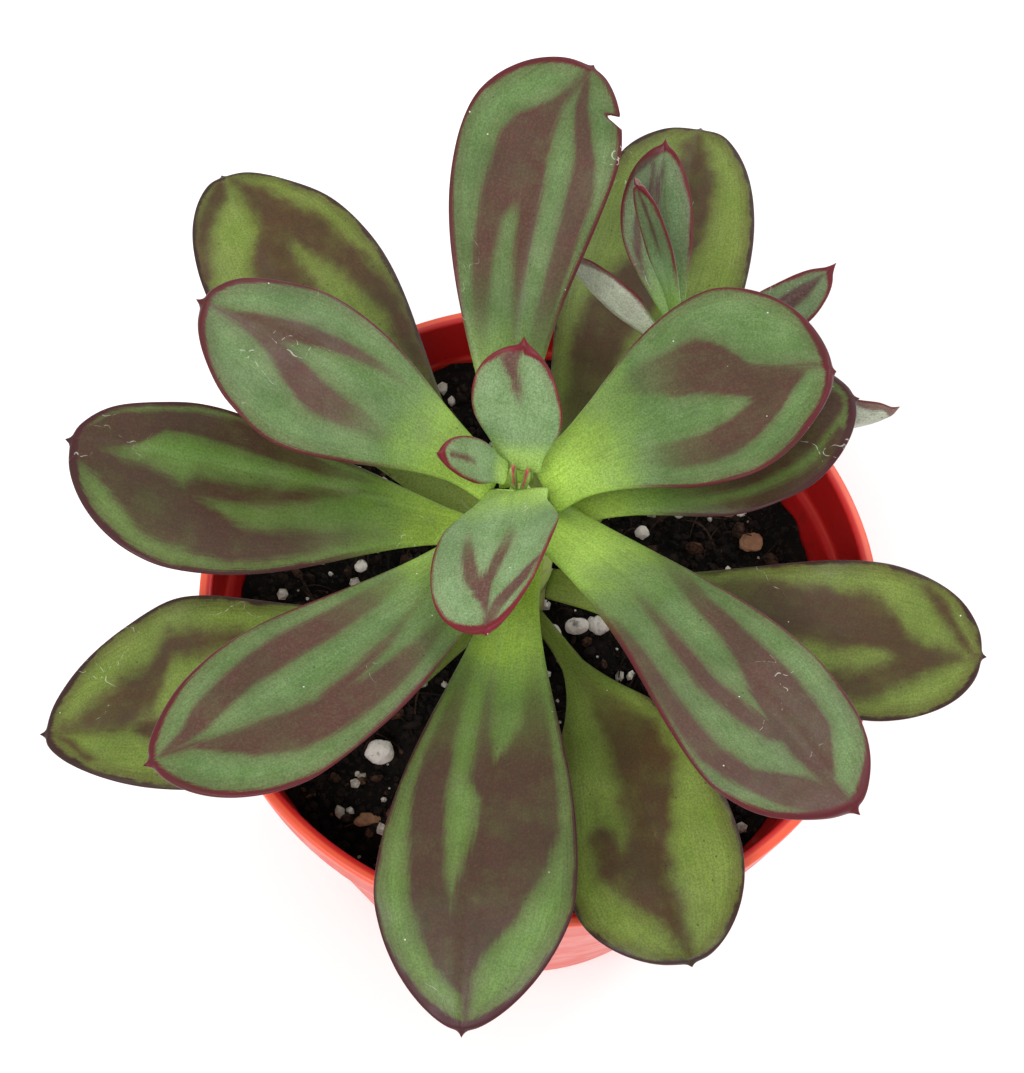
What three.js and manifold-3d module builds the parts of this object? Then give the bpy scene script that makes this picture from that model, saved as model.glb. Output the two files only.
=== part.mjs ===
// A painted echeveria in a small round plastic nursery pot.
// Millimetres, +Z up. The origin is the centre of the pot's base, on the surface it stands on.
// Headings are in degrees round +Z from +X, and rises are in degrees above the horizontal.
import * as THREE from "three";
import { mergeVertices } from "three/addons/utils/BufferGeometryUtils.js";
import Module from "manifold-3d";

// Driving dimensions
const POT_HEIGHT = 76;
const POT_RIM_RADIUS = 45;
const POT_BASE_RADIUS = 31.5;
const POT_WALL = 1.1;
const POT_FLOOR = 2.8;
const POT_SIDES = 44;
const COLLAR_HEIGHT = 10;
const COLLAR_STEP = 1.1;
const LAND_RADIUS = 12;
const FOOT_RING_WIDTH = 3.5;
const CHANNEL_DEPTH = 1.5;
const DRAIN_HOLES = 6;
const DRAIN_HOLE_RADIUS = 2.5;
const DRAIN_CIRCLE_RADIUS = 20;
const SOIL_LEVEL = 60;
const GAP = 0.3;
const STEM_RADIUS = 3.1;
const STEM_TIP_RADIUS = 1.4;
const SIDE_STEM_RADIUS = 1.9;

// The main stem's centre line, from inside the soil to just under the growing point.
const STEM_POINTS = [
  [-3, 0, 50],
  [-2.6, -0.4, 76],
  [-2, 0, 88],
  [-4.6, 3.2, 105],
];
const STEM_TOP = 99.8;
const OFFSET_CENTRE = [17, 29, 92];
const OFFSET_AXIS = [-0.3, 0.25, 0.92];

const DEGREE = Math.PI / 180;
const vector = (x, y, z) => new THREE.Vector3(x, y, z);

// Materials
const plastic = new THREE.MeshStandardMaterial({ color: 0xc8462f, roughness: 0.45, metalness: 0 });
const peat = new THREE.MeshStandardMaterial({ color: 0x1d1815, roughness: 0.97, metalness: 0 });
const perlite = new THREE.MeshStandardMaterial({ color: 0xd5cfc4, roughness: 0.95, metalness: 0 });
const bark = new THREE.MeshStandardMaterial({ color: 0xa37c5f, roughness: 0.9, metalness: 0 });
const stemSkin = new THREE.MeshStandardMaterial({ color: 0x9cb04c, roughness: 0.6, metalness: 0 });
const leafSkin = new THREE.MeshStandardMaterial({ color: 0x6f8f52, roughness: 0.5, metalness: 0 });

const wasm = await Module();
wasm.setup();

// A geometry with only merged positions, which manifold-3d needs.
function mergedPositions(geometry) {
  const bare = geometry.index ? geometry.toNonIndexed() : geometry.clone();
  bare.deleteAttribute("normal");
  bare.deleteAttribute("uv");
  return mergeVertices(bare, 1e-4);
}

function solidFrom(geometry) {
  const merged = mergedPositions(geometry);
  const mesh = new wasm.Mesh({
    numProp: 3,
    vertProperties: new Float32Array(merged.attributes.position.array),
    triVerts: new Uint32Array(merged.index.array),
  });
  return new wasm.Manifold(mesh);
}

function geometryFrom(solid) {
  const mesh = solid.getMesh();
  const geometry = new THREE.BufferGeometry();
  geometry.setAttribute("position", new THREE.BufferAttribute(mesh.vertProperties, 3));
  geometry.setIndex(new THREE.BufferAttribute(mesh.triVerts, 1));
  return geometry;
}

// A closed skin over rings of points. Each ring runs anticlockwise seen from the last ring, and the
// two ends close on one point each.
function skinOver(rings, firstPoint, lastPoint) {
  const sides = rings[0].length;
  const positions = [];
  for (const point of [firstPoint, ...rings.flat(), lastPoint]) positions.push(point.x, point.y, point.z);
  const at = (ring, side) => 1 + ring * sides + (side % sides);
  const last = 1 + rings.length * sides;
  const faces = [];
  for (let side = 0; side < sides; side++) {
    faces.push(0, at(0, side + 1), at(0, side));
    for (let ring = 0; ring + 1 < rings.length; ring++) {
      faces.push(at(ring, side), at(ring, side + 1), at(ring + 1, side + 1));
      faces.push(at(ring, side), at(ring + 1, side + 1), at(ring + 1, side));
    }
    faces.push(last, at(rings.length - 1, side), at(rings.length - 1, side + 1));
  }
  const geometry = new THREE.BufferGeometry();
  geometry.setAttribute("position", new THREE.Float32BufferAttribute(positions, 3));
  geometry.setIndex(faces);
  return geometry;
}

// Where the main stem's centre line is at a height.
function stemAt(height) {
  const upper = STEM_POINTS.findIndex((point, index) => index > 0 && point[2] >= height);
  const from = vector(...STEM_POINTS[upper - 1]);
  const to = vector(...STEM_POINTS[upper]);
  return from.clone().lerp(to, (height - from.z) / (to.z - from.z));
}

// The pot: a thin wall that leans out, a straight collar under a rolled lip, a foot ring, and a
// centre land that stands on the same level as the ring.
const lipHeight = 1.6;
const collarBottom = POT_HEIGHT - COLLAR_HEIGHT;
const wallTopRadius = POT_RIM_RADIUS - 1 - COLLAR_STEP;
const innerFloorRadius = POT_BASE_RADIUS - POT_WALL;
const innerLedgeRadius = wallTopRadius - POT_WALL;

// The radius of the pot's inner wall at a height below the collar.
function innerRadius(height) {
  const share = (height - POT_FLOOR) / (collarBottom - POT_FLOOR);
  return innerFloorRadius + share * (innerLedgeRadius - innerFloorRadius);
}

function makePot() {
  const ringInside = POT_BASE_RADIUS - FOOT_RING_WIDTH;
  const profile = [
    [0, 0],
    [LAND_RADIUS, 0],
    [LAND_RADIUS + CHANNEL_DEPTH, CHANNEL_DEPTH],
    [ringInside - CHANNEL_DEPTH, CHANNEL_DEPTH],
    [ringInside, 0],
    [POT_BASE_RADIUS - 0.5, 0],
    [POT_BASE_RADIUS, 0.6],
    [wallTopRadius, collarBottom],
    [wallTopRadius + COLLAR_STEP, collarBottom + 0.8],
    [POT_RIM_RADIUS - 0.7, POT_HEIGHT - lipHeight - 0.5],
    [POT_RIM_RADIUS, POT_HEIGHT - lipHeight],
    [POT_RIM_RADIUS, POT_HEIGHT - 0.4],
    [POT_RIM_RADIUS - 0.5, POT_HEIGHT],
    [POT_RIM_RADIUS - 1.3, POT_HEIGHT],
    [POT_RIM_RADIUS - 1.7, POT_HEIGHT - 0.5],
    [wallTopRadius + COLLAR_STEP - POT_WALL, collarBottom + 1.4],
    [innerLedgeRadius, collarBottom],
    [innerFloorRadius, POT_FLOOR + 0.6],
    [innerFloorRadius - 0.7, POT_FLOOR],
    [0, POT_FLOOR],
  ];
  const points = profile.map(([radius, height]) => new THREE.Vector2(radius, height));
  let shell = solidFrom(new THREE.LatheGeometry(points, POT_SIDES));
  for (let hole = 0; hole < DRAIN_HOLES; hole++) {
    const angle = (hole / DRAIN_HOLES) * 2 * Math.PI;
    const cutter = new THREE.CylinderGeometry(DRAIN_HOLE_RADIUS, DRAIN_HOLE_RADIUS, 3 * POT_FLOOR, 12);
    cutter.translate(DRAIN_CIRCLE_RADIUS * Math.cos(angle), 0, DRAIN_CIRCLE_RADIUS * Math.sin(angle));
    shell = shell.subtract(solidFrom(cutter));
  }
  // A lathe turns about +Y, and the part's up is +Z.
  return geometryFrom(shell).rotateX(90 * DEGREE);
}

// The potting mix's surface: it lies higher at the back and the left, with low lumps.
function soilHeight(x, y) {
  const slope = 0.18 * y - 0.06 * x;
  const lumps = 0.5 * Math.sin(0.31 * x + 1.1) * Math.cos(0.27 * y - 0.4) + 0.3 * Math.sin(0.52 * (x + y));
  return SOIL_LEVEL + slope + lumps;
}

function makeSoil() {
  const sides = 36;
  const bottomHeight = POT_FLOOR + GAP;
  const ringAt = (radiusAt, heightAt) => {
    const ring = [];
    for (let side = 0; side < sides; side++) {
      const angle = (side / sides) * 2 * Math.PI;
      const [x, y] = [Math.cos(angle), Math.sin(angle)];
      const height = heightAt(x, y);
      const radius = radiusAt(height);
      ring.push(vector(radius * x, radius * y, height));
    }
    return ring;
  };
  // A polygon's flats lie closer to the axis than its corners, so the wall gap counts both.
  const flatShare = Math.cos(Math.PI / POT_SIDES);
  const wallRadius = (height) => (innerRadius(height) * flatShare - GAP);
  const edgeReach = innerRadius(SOIL_LEVEL);
  const edgeHeight = (x, y) => soilHeight(edgeReach * x, edgeReach * y);
  const bottomRadius = innerFloorRadius * flatShare - 0.7 - GAP;
  const rings = [
    ringAt(() => bottomRadius, () => bottomHeight),
    ringAt(wallRadius, () => bottomHeight + 1),
    ringAt(wallRadius, edgeHeight),
  ];
  for (const share of [0.9, 0.72, 0.5, 0.25]) {
    const radius = share * edgeReach;
    rings.push(ringAt(() => radius, (x, y) => soilHeight(radius * x, radius * y)));
  }
  const block = solidFrom(skinOver(rings, vector(0, 0, bottomHeight), vector(0, 0, soilHeight(0, 0))));
  const socketBottom = STEM_POINTS[0][2] - GAP;
  return geometryFrom(block.subtract(solidFrom(makeMainStem(GAP, socketBottom))));
}

// A stem: round rings about a line of centres, with a radius for each.
function makeStem(centres, radii) {
  const sides = 10;
  const rings = centres.map((centre, index) => {
    const before = centres[Math.max(index - 1, 0)];
    const after = centres[Math.min(index + 1, centres.length - 1)];
    const along = after.clone().sub(before).normalize();
    const across = vector(0, 1, 0).cross(along).normalize();
    const third = along.clone().cross(across);
    const ring = [];
    for (let side = 0; side < sides; side++) {
      const angle = (side / sides) * 2 * Math.PI;
      const offset = across.clone().multiplyScalar(Math.cos(angle));
      offset.addScaledVector(third, Math.sin(angle));
      ring.push(centre.clone().addScaledVector(offset, radii[index]));
    }
    return ring;
  });
  return skinOver(rings, centres[0], centres[centres.length - 1]);
}

function makeMainStem(extra = 0, bottom = STEM_POINTS[0][2]) {
  const heights = [50, 58, 66, 74, 82, 88, 94, STEM_TOP];
  const radii = [0.92, 1, 1, 0.98, 1, 1, 0.9, STEM_TIP_RADIUS / STEM_RADIUS];
  const centres = heights.map((height) => stemAt(height));
  centres[0].z = bottom;
  return makeStem(centres, radii.map((share) => share * STEM_RADIUS + extra));
}

// The side stem grows from the main stem's flank, above the back right leaf, to the offset.
function makeSideStem() {
  const centre = vector(...OFFSET_CENTRE);
  const root = stemAt(86);
  const outwards = centre.clone().sub(root).setZ(0).normalize();
  const start = root.clone().addScaledVector(outwards, STEM_RADIUS + GAP + 0.5);
  const middle = start.clone().lerp(centre, 0.55).add(vector(1, -1.5, -1));
  const end = centre.clone().addScaledVector(outwards, -0.6).setZ(centre.z - 1.4);
  const curve = new THREE.CatmullRomCurve3([start, middle, end]);
  const steps = 6;
  const radii = curve.getPoints(steps).map((_, index) => SIDE_STEM_RADIUS * (1 - 0.02 * index));
  return makeStem(curve.getPoints(steps), radii);
}

// A leaf's half width at a share of its length: a neck that opens to the widest place along half a
// sine wave, then a rounded end.
function halfWidth(row, share) {
  if (share < row.widest) {
    const rise = 0.5 - 0.5 * Math.cos((Math.PI * share) / row.widest);
    return 0.5 * row.width * (row.neck + (1 - row.neck) * rise);
  }
  const past = (share - row.widest) / (1 - row.widest);
  return 0.5 * row.width * Math.pow(Math.max(1 - Math.pow(past, row.blunt), 0), row.sharp);
}

// A leaf: its midrib leaves the stem on a heading and a rise, and both turn evenly along it. The
// section is a shallow channel that thins out to both edges.
function makeLeaf(row, centre) {
  const ringCount = 14;
  const across = [1, 0.72, 0.38, 0, -0.38, -0.72, -1, -0.72, -0.38, 0, 0.38, 0.72];
  const firstUnder = 7;
  const steps = 60;
  const direction = (share) => {
    const heading = (row.heading + row.turn * share) * DEGREE;
    const rise = (row.rise + row.bend * share) * DEGREE;
    return vector(Math.cos(rise) * Math.cos(heading), Math.cos(rise) * Math.sin(heading), Math.sin(rise));
  };
  const start = centre.clone();
  start.x += row.clear * Math.cos(row.heading * DEGREE);
  start.y += row.clear * Math.sin(row.heading * DEGREE);
  const midrib = [start];
  for (let step = 0; step < steps; step++) {
    const ahead = direction((step + 0.5) / steps).multiplyScalar(row.length / steps);
    midrib.push(midrib[step].clone().add(ahead));
  }
  const midribAt = (share) => {
    const place = Math.min(share * steps, steps - 1e-6);
    const step = Math.floor(place);
    return midrib[step].clone().lerp(midrib[step + 1], place - step);
  };
  const rings = [];
  for (let ring = 0; ring < ringCount; ring++) {
    const share = 1 - Math.pow(1 - ring / ringCount, 1.7);
    const along = direction(share);
    const heading = (row.heading + row.turn * share) * DEGREE;
    const level = vector(-Math.sin(heading), Math.cos(heading), 0);
    const upright = along.clone().cross(level);
    const side = level.clone().multiplyScalar(Math.cos(row.roll * DEGREE));
    side.addScaledVector(upright, Math.sin(row.roll * DEGREE));
    const face = along.clone().cross(side);
    const half = halfWidth(row, share);
    const skew = row.skew + row.drift * (2 * share - 1);
    const thickness = row.thick * (1 - 0.35 * share);
    rings.push(
      across.map((place, index) => {
        const reach = place * half * (place > 0 ? 1 + skew : 1 - skew);
        const channel = row.cup * half * place * place;
        const body = 0.5 * thickness * Math.sqrt(1 - place * place);
        const lift = channel + (index < firstUnder ? body : -body);
        return midribAt(share).addScaledVector(side, reach).addScaledVector(face, lift);
      }),
    );
  }
  return skinOver(rings, rings[0][0].clone().lerp(rings[0][6], 0.5), midrib[steps]);
}

const MAIN_LEAF = { clear: 3.6, thick: 2.6, cup: 0.12, drift: 0, sharp: 0.55 };
const INNER_LEAF = { clear: 1.6, thick: 1.5, cup: 0.14, drift: 0, sharp: 0.5 };
const OFFSET_LEAF = { clear: 1.7, thick: 1.4, cup: 0.2, drift: 0, sharp: 0.55 };
const BUD_LEAF = { clear: 0.42, thick: 0.6, cup: 0.1, drift: 0, sharp: 0.7 };

// The main rosette's leaves, youngest first. Height is where the leaf leaves the stem.
const mainLeaves = [
  { name: "inner_leaf_left", height: 103.4, heading: -169, turn: 11, rise: 50, bend: -10,
    length: 11, width: 5.5, widest: 0.5, neck: 0.55, blunt: 2.1, skew: -0.04, roll: -20 },
  { name: "inner_leaf_back", height: 102.2, heading: 91, turn: 1, rise: 60, bend: -10,
    length: 16, width: 11, widest: 0.5, neck: 0.46, blunt: 2.1, skew: 0.06, drift: 0.2, roll: -12 },
  { name: "inner_leaf_front", height: 101.3, heading: -106, turn: 22, rise: 30, bend: -14,
    length: 25, width: 15, widest: 0.42, neck: 0.5, blunt: 2.2, skew: 0.06, drift: -0.15, roll: 24 },
  { name: "upper_leaf_left", height: 99.6, heading: 157, turn: 12, rise: 36, bend: -18,
    length: 41.5, width: 21.5, widest: 0.66, neck: 0.26, blunt: 1.9, skew: 0.24, roll: 4 },
  { name: "upper_leaf_right", height: 98.6, heading: 27, turn: -23, rise: 36, bend: -18,
    length: 38, width: 26, widest: 0.68, neck: 0.3, blunt: 1.8, sharp: 0.6, skew: 0.06, drift: 0.05, roll: -2 },
  { name: "upper_leaf_front_right", height: 97, heading: -41, turn: -12, rise: 24, bend: -22,
    length: 54, width: 22.5, widest: 0.8, neck: 0.38, blunt: 1.6, sharp: 0.6, skew: -0.12, drift: -0.2, roll: -16 },
  { name: "upper_leaf_back", height: 96.2, heading: 104, turn: -41, rise: 36, bend: -18,
    length: 53.5, width: 20, widest: 0.78, neck: 0.22, blunt: 1.8, skew: 0.14, drift: 0.05, roll: 11 },
  { name: "upper_leaf_front_left", height: 95.3, heading: -121, turn: -27, rise: 26, bend: -24,
    length: 55, width: 20.5, widest: 0.74, neck: 0.4, blunt: 1.7, sharp: 0.6, skew: 0.06, drift: 0.15, roll: 9 },
  { name: "middle_leaf_left", height: 91.4, heading: 184, turn: -8, rise: 30, bend: -24,
    length: 54, width: 21, widest: 0.74, neck: 0.16, blunt: 1.8, skew: 0.34, drift: -0.05, roll: -5 },
  { name: "middle_leaf_right", height: 92.2, heading: 24, turn: -10, rise: 32, bend: -22,
    length: 40.5, width: 20, widest: 0.64, neck: 0.22, blunt: 2, sharp: 0.6, skew: -0.04, drift: -0.1, roll: 3 },
  { name: "middle_leaf_front", height: 91.6, heading: -97, turn: 8, rise: 14, bend: -30,
    length: 59.5, width: 23, widest: 0.74, neck: 0.22, blunt: 1.6, sharp: 0.65, skew: 0.06, drift: -0.05, roll: 4 },
  { name: "lower_leaf_back_left", height: 84, heading: 141, turn: -22, rise: 12, bend: -14,
    length: 67, width: 24.5, widest: 0.68, neck: 0.22, blunt: 1.8, skew: -0.1, drift: -0.05, roll: 2 },
  { name: "lower_leaf_back_right", height: 82, heading: 65, turn: 18, rise: 6, bend: -8,
    length: 71, width: 25, widest: 0.64, neck: 0.4, blunt: 2.1, sharp: 0.45, skew: 0.06, drift: 0.1, roll: -3 },
  { name: "lower_leaf_left", height: 80, heading: -137, turn: -42, rise: 6, bend: -16,
    length: 62, width: 25.5, widest: 0.66, neck: 0.2, blunt: 1.6, skew: -0.16, drift: -0.2, roll: -4 },
  { name: "lower_leaf_right", height: 82, heading: -16, turn: 17, rise: 14, bend: -24,
    length: 56, width: 20, widest: 0.74, neck: 0.2, blunt: 1.9, sharp: 0.5, skew: -0.06, drift: 0.1, roll: 19 },
  { name: "lower_leaf_front", height: 75, heading: -54, turn: -22, rise: 14, bend: -20,
    length: 51, width: 22, widest: 0.76, neck: 0.2, blunt: 2, skew: -0.02, drift: -0.2, roll: 8 },
];

// The offset's leaves, spaced by their distance up its leaning axis. Its near leaves stand on edge.
const offsetLeaves = [
  { name: "offset_leaf_back", up: 0.8, heading: 116, turn: -30, rise: 34, bend: -6,
    length: 25, width: 9.5, widest: 0.6, neck: 0.26, blunt: 2.1, sharp: 0.6, skew: 0.12, roll: -14 },
  { name: "offset_leaf_centre", up: 3, heading: 117, turn: 22, rise: 58, bend: -4,
    length: 21, width: 4.5, widest: 0.54, neck: 0.36, blunt: 2.1, skew: -0.04, roll: -73 },
  { name: "offset_leaf_left", clear: 2.1, up: -0.7, heading: 160, turn: -18, rise: 22, bend: 4,
    length: 18, width: 9, widest: 0.6, neck: 0.26, blunt: 2.2, skew: 0.04, roll: 82 },
  { name: "offset_leaf_right_back", up: -0.6, heading: 15, turn: 30, rise: 24, bend: -4,
    length: 20, width: 7.5, widest: 0.54, neck: 0.34, blunt: 1.9, sharp: 0.65, skew: -0.1, roll: 0 },
  { name: "offset_leaf_right", up: -2.2, heading: -45, turn: 60, rise: 4, bend: 10,
    length: 27, width: 9.5, widest: 0.58, neck: 0.34, blunt: 2.2, skew: 0.1, roll: -87 },
];

// The bud: two leaves that still stand closed over the growing point.
const budLeaves = [
  { name: "bud_leaf_left", heading: 175, turn: 0, rise: 84, bend: 2,
    length: 5.4, width: 1.7, widest: 0.5, neck: 0.7, blunt: 2, skew: 0, roll: 0 },
  { name: "bud_leaf_right", heading: -5, turn: 0, rise: 84, bend: 2,
    length: 5, width: 1.7, widest: 0.5, neck: 0.7, blunt: 2, skew: 0, roll: 0 },
];

// The height at which a loose piece of a given reach clears the soil.
function restingHeight(x, y, reach) {
  let highest = soilHeight(x, y);
  for (let side = 0; side < 8; side++) {
    const angle = (side / 8) * 2 * Math.PI;
    highest = Math.max(highest, soilHeight(x + reach * Math.cos(angle), y + reach * Math.sin(angle)));
  }
  return highest + GAP;
}

// A lumpy grain of perlite: a ball with shallow waves on it.
function makeGrain(x, y, size, phase) {
  const geometry = mergedPositions(new THREE.IcosahedronGeometry(1, 1));
  const positions = geometry.attributes.position;
  const reach = 0.5 * size;
  for (let index = 0; index < positions.count; index++) {
    const point = vector().fromBufferAttribute(positions, index);
    const wave = 1 + 0.12 * Math.sin(3 * point.x + phase) * Math.cos(4 * point.y + 2 * phase);
    point.multiplyScalar(wave * reach);
    positions.setXYZ(index, point.x, point.y * 0.85, point.z * 0.75);
  }
  geometry.rotateZ(phase);
  return geometry.translate(x, y, restingHeight(x, y, reach) + 0.84 * reach);
}

const grains = [
  { x: -20, y: -18, size: 3.8 },
  { x: -25, y: 7.5, size: 2.1 },
  { x: -22.5, y: 11, size: 2.2 },
  { x: 14, y: 16, size: 2.1 },
  { x: 19, y: 19.5, size: 1.8 },
  { x: 2.2, y: 0, size: 3 },
  { x: 5.4, y: 1.6, size: 3 },
  { x: 8.7, y: 2.4, size: 3 },
  { x: -16, y: -22.5, size: 1.6 },
];

// A chip of bark: a flat splinter with blunt ends.
function makeChip(x, y, length, angle) {
  const half = 0.5 * length;
  const width = 0.42 * length;
  const thickness = 0.9;
  const outline = new THREE.Shape();
  outline.moveTo(-half, -0.2 * width);
  outline.lineTo(-0.3 * half, -0.5 * width);
  outline.lineTo(0.7 * half, -0.4 * width);
  outline.lineTo(half, 0.1 * width);
  outline.lineTo(0.4 * half, 0.5 * width);
  outline.lineTo(-0.6 * half, 0.42 * width);
  outline.closePath();
  const geometry = new THREE.ExtrudeGeometry(outline, { depth: thickness, bevelEnabled: false });
  geometry.rotateZ(angle * DEGREE);
  return geometry.translate(x, y, restingHeight(x, y, half));
}

const chips = [
  { x: 29.5, y: 16.5, length: 3.8, angle: -50 },
  { x: 26.5, y: 20.5, length: 2.8, angle: 10 },
  { x: -21, y: -27, length: 3.4, angle: 15 },
];

// The assembly
const plant = new THREE.Group();
const offsetAxis = vector(...OFFSET_AXIS).normalize();

function addPiece(name, geometry, material) {
  const mesh = new THREE.Mesh(geometry, material);
  mesh.name = name;
  plant.add(mesh);
}

addPiece("pot", makePot(), plastic);
addPiece("soil", makeSoil(), peat);
addPiece("stem", makeMainStem(), stemSkin);
addPiece("side_stem", makeSideStem(), stemSkin);
for (const row of mainLeaves) {
  const kind = row.height > 100 ? INNER_LEAF : MAIN_LEAF;
  addPiece(row.name, makeLeaf({ ...kind, ...row }, stemAt(row.height)), leafSkin);
}
for (const row of offsetLeaves) {
  const centre = vector(...OFFSET_CENTRE).addScaledVector(offsetAxis, row.up);
  addPiece(row.name, makeLeaf({ ...OFFSET_LEAF, ...row }, centre), leafSkin);
}
for (const row of budLeaves) {
  addPiece(row.name, makeLeaf({ ...BUD_LEAF, ...row }, stemAt(STEM_TOP + 0.6)), leafSkin);
}
grains.forEach(({ x, y, size }, index) => {
  addPiece(`perlite_grain_${index + 1}`, makeGrain(x, y, size, index), perlite);
});
chips.forEach(({ x, y, length, angle }, index) => {
  addPiece(`bark_chip_${index + 1}`, makeChip(x, y, length, angle), bark);
});

export default plant;
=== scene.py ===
"""A potted echeveria: one rosette of banded leaves, a small offset beside it, and a round
plastic nursery pot of peat mix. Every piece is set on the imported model, in metres, +Z up."""

import bpy
import numpy as np
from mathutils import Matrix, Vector


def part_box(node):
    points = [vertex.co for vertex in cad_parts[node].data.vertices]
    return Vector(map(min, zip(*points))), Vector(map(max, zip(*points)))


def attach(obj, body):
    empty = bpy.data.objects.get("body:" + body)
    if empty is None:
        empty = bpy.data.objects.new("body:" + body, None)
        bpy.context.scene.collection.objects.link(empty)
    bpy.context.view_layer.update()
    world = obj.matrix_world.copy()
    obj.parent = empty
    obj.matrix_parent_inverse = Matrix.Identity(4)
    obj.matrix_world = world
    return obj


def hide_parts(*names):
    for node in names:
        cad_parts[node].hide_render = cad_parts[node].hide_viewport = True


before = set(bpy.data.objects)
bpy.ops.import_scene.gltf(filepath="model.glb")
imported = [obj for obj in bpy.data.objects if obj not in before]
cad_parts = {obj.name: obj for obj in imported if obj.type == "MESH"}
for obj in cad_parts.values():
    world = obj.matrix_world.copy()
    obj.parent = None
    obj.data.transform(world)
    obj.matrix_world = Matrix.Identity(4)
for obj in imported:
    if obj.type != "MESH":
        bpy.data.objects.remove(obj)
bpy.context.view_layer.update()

# ---------------------------------------------------------------------------------------
# The studio. The pot stands on a wide matt white floor under an even white sky, with one big
# soft lamp high in front and a weaker one behind. The camera looks steeply down at the plant.

MM = 0.001
DEGREE = np.pi / 180
scene = bpy.context.scene

floor_size = 6.0
floor_mesh = bpy.data.meshes.new("floor")
half_floor = floor_size / 2
floor_mesh.from_pydata(
    [(-half_floor, -half_floor, 0), (half_floor, -half_floor, 0),
     (half_floor, half_floor, 0), (-half_floor, half_floor, 0)], [], [(0, 1, 2, 3)])
floor = bpy.data.objects.new("floor", floor_mesh)
scene.collection.objects.link(floor)


def new_material(name):
    """A material with its nodes switched on, and its shader."""
    material = bpy.data.materials.new(name)
    material.use_nodes = True
    return material, material.node_tree.nodes["Principled BSDF"]


floor_look, floor_shader = new_material("floor_paint")
floor_shader.inputs["Base Color"].default_value = (0.92, 0.92, 0.92, 1)
floor_shader.inputs["Roughness"].default_value = 0.9
floor_shader.inputs["Specular IOR Level"].default_value = 0.1
floor_mesh.materials.append(floor_look)

sky = bpy.data.worlds.new("sky")
sky.use_nodes = True
sky.node_tree.nodes["Background"].inputs["Color"].default_value = (1, 1, 1, 1)
sky.node_tree.nodes["Background"].inputs["Strength"].default_value = 0.86
scene.world = sky
scene.view_settings.view_transform = "Standard"


plant_middle = Vector((0, 0, 80 * MM))
lamp_size = 0.5


def soft_lamp(name, place, watts):
    """A square area lamp that faces the middle of the plant."""
    lamp = bpy.data.lights.new(name, "AREA")
    lamp.shape = "SQUARE"
    lamp.size = lamp_size
    lamp.energy = watts
    piece = bpy.data.objects.new(name, lamp)
    piece.location = place
    towards = plant_middle - piece.location
    piece.rotation_euler = towards.to_track_quat("-Z", "Y").to_euler()
    scene.collection.objects.link(piece)


soft_lamp("lamp_front", (-0.25, -0.55, 0.95), 7.5)
soft_lamp("lamp_back", (0.45, 0.6, 0.8), 3.5)

camera_data = bpy.data.cameras.new("camera")
camera_data.sensor_width = 36
camera_data.lens = 67.1
camera = bpy.data.objects.new("camera", camera_data)
camera.location = (-4.33 * MM, -111.49 * MM, 315.4 * MM)
camera.rotation_mode = "ZYX"
camera.rotation_euler = (26.5 * DEGREE, 0, 4 * DEGREE)
scene.collection.objects.link(camera)
scene.camera = camera

# ---------------------------------------------------------------------------------------
# The pot: one thin injection-moulded shell of orange-red plastic, with a rolled lip, a straight
# collar over a ledge, a foot ring and six drain holes. It is a profile carried round the axis.

rim_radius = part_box("pot")[1].x
pot_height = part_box("pot")[1].z
base_radius = 0.7 * rim_radius
wall = 1.1 * MM
floor_top = 2.8 * MM
collar_step = 1.1 * MM
collar_bottom = pot_height - 10 * MM
wall_top_radius = rim_radius - 1 * MM - collar_step
foot_inside = base_radius - 3.5 * MM
land_radius = 12 * MM
channel = 1.5 * MM
middle_radius = 2 * MM
lip_drop = 1.6 * MM
lip_width = 1.7 * MM
step_rise = 0.8 * MM
corner_blend = 0.45 * MM


def rounded(profile, reach, steps=5):
    """The profile with each inner corner turned into a curve: a quadratic blend from reach
    before the corner to reach past it."""
    profile = np.array(profile, float)
    share = np.linspace(0, 1, steps)[:, None]
    pieces = [profile[:1]]
    for before, corner, after in zip(profile[:-2], profile[1:-1], profile[2:]):
        back, ahead = before - corner, after - corner
        back_length, ahead_length = np.linalg.norm(back), np.linalg.norm(ahead)
        start = corner + back * min(reach, 0.45 * back_length) / back_length
        end = corner + ahead * min(reach, 0.45 * ahead_length) / ahead_length
        pieces.append((1 - share) ** 2 * start + 2 * share * (1 - share) * corner + share**2 * end)
    pieces.append(profile[-1:])
    return np.vstack(pieces)


def closed_faces(rows, sides):
    """The faces of a closed skin over rows of points: quads between neighbouring rows, and a fan
    of triangles onto one point at each end. The first point is 0 and the last is the highest."""
    ring, side = np.meshgrid(np.arange(rows - 1), np.arange(sides), indexing="ij")
    near = 1 + ring * sides + side
    past = 1 + ring * sides + (side + 1) % sides
    quads = np.stack([near, past, past + sides, near + sides], -1).reshape(-1, 4)
    place = np.arange(sides)
    following = (place + 1) % sides
    first_fan = np.stack([0 * place, 1 + following, 1 + place], -1)
    last_row = 1 + (rows - 1) * sides
    last_fan = np.stack([0 * place + last_row + sides, last_row + place, last_row + following], -1)
    return quads.tolist() + first_fan.tolist() + last_fan.tolist()


def skin_piece(name, rows, first, last):
    """A piece whose surface is a closed skin over a grid of points, rows by sides by xyz."""
    count, sides = rows.shape[:2]
    points = np.vstack([first, rows.reshape(-1, 3), last])
    mesh = bpy.data.meshes.new(name)
    mesh.from_pydata(points.tolist(), [], closed_faces(count, sides))
    mesh.shade_smooth()
    piece = bpy.data.objects.new(name, mesh)
    scene.collection.objects.link(piece)
    return piece


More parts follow.
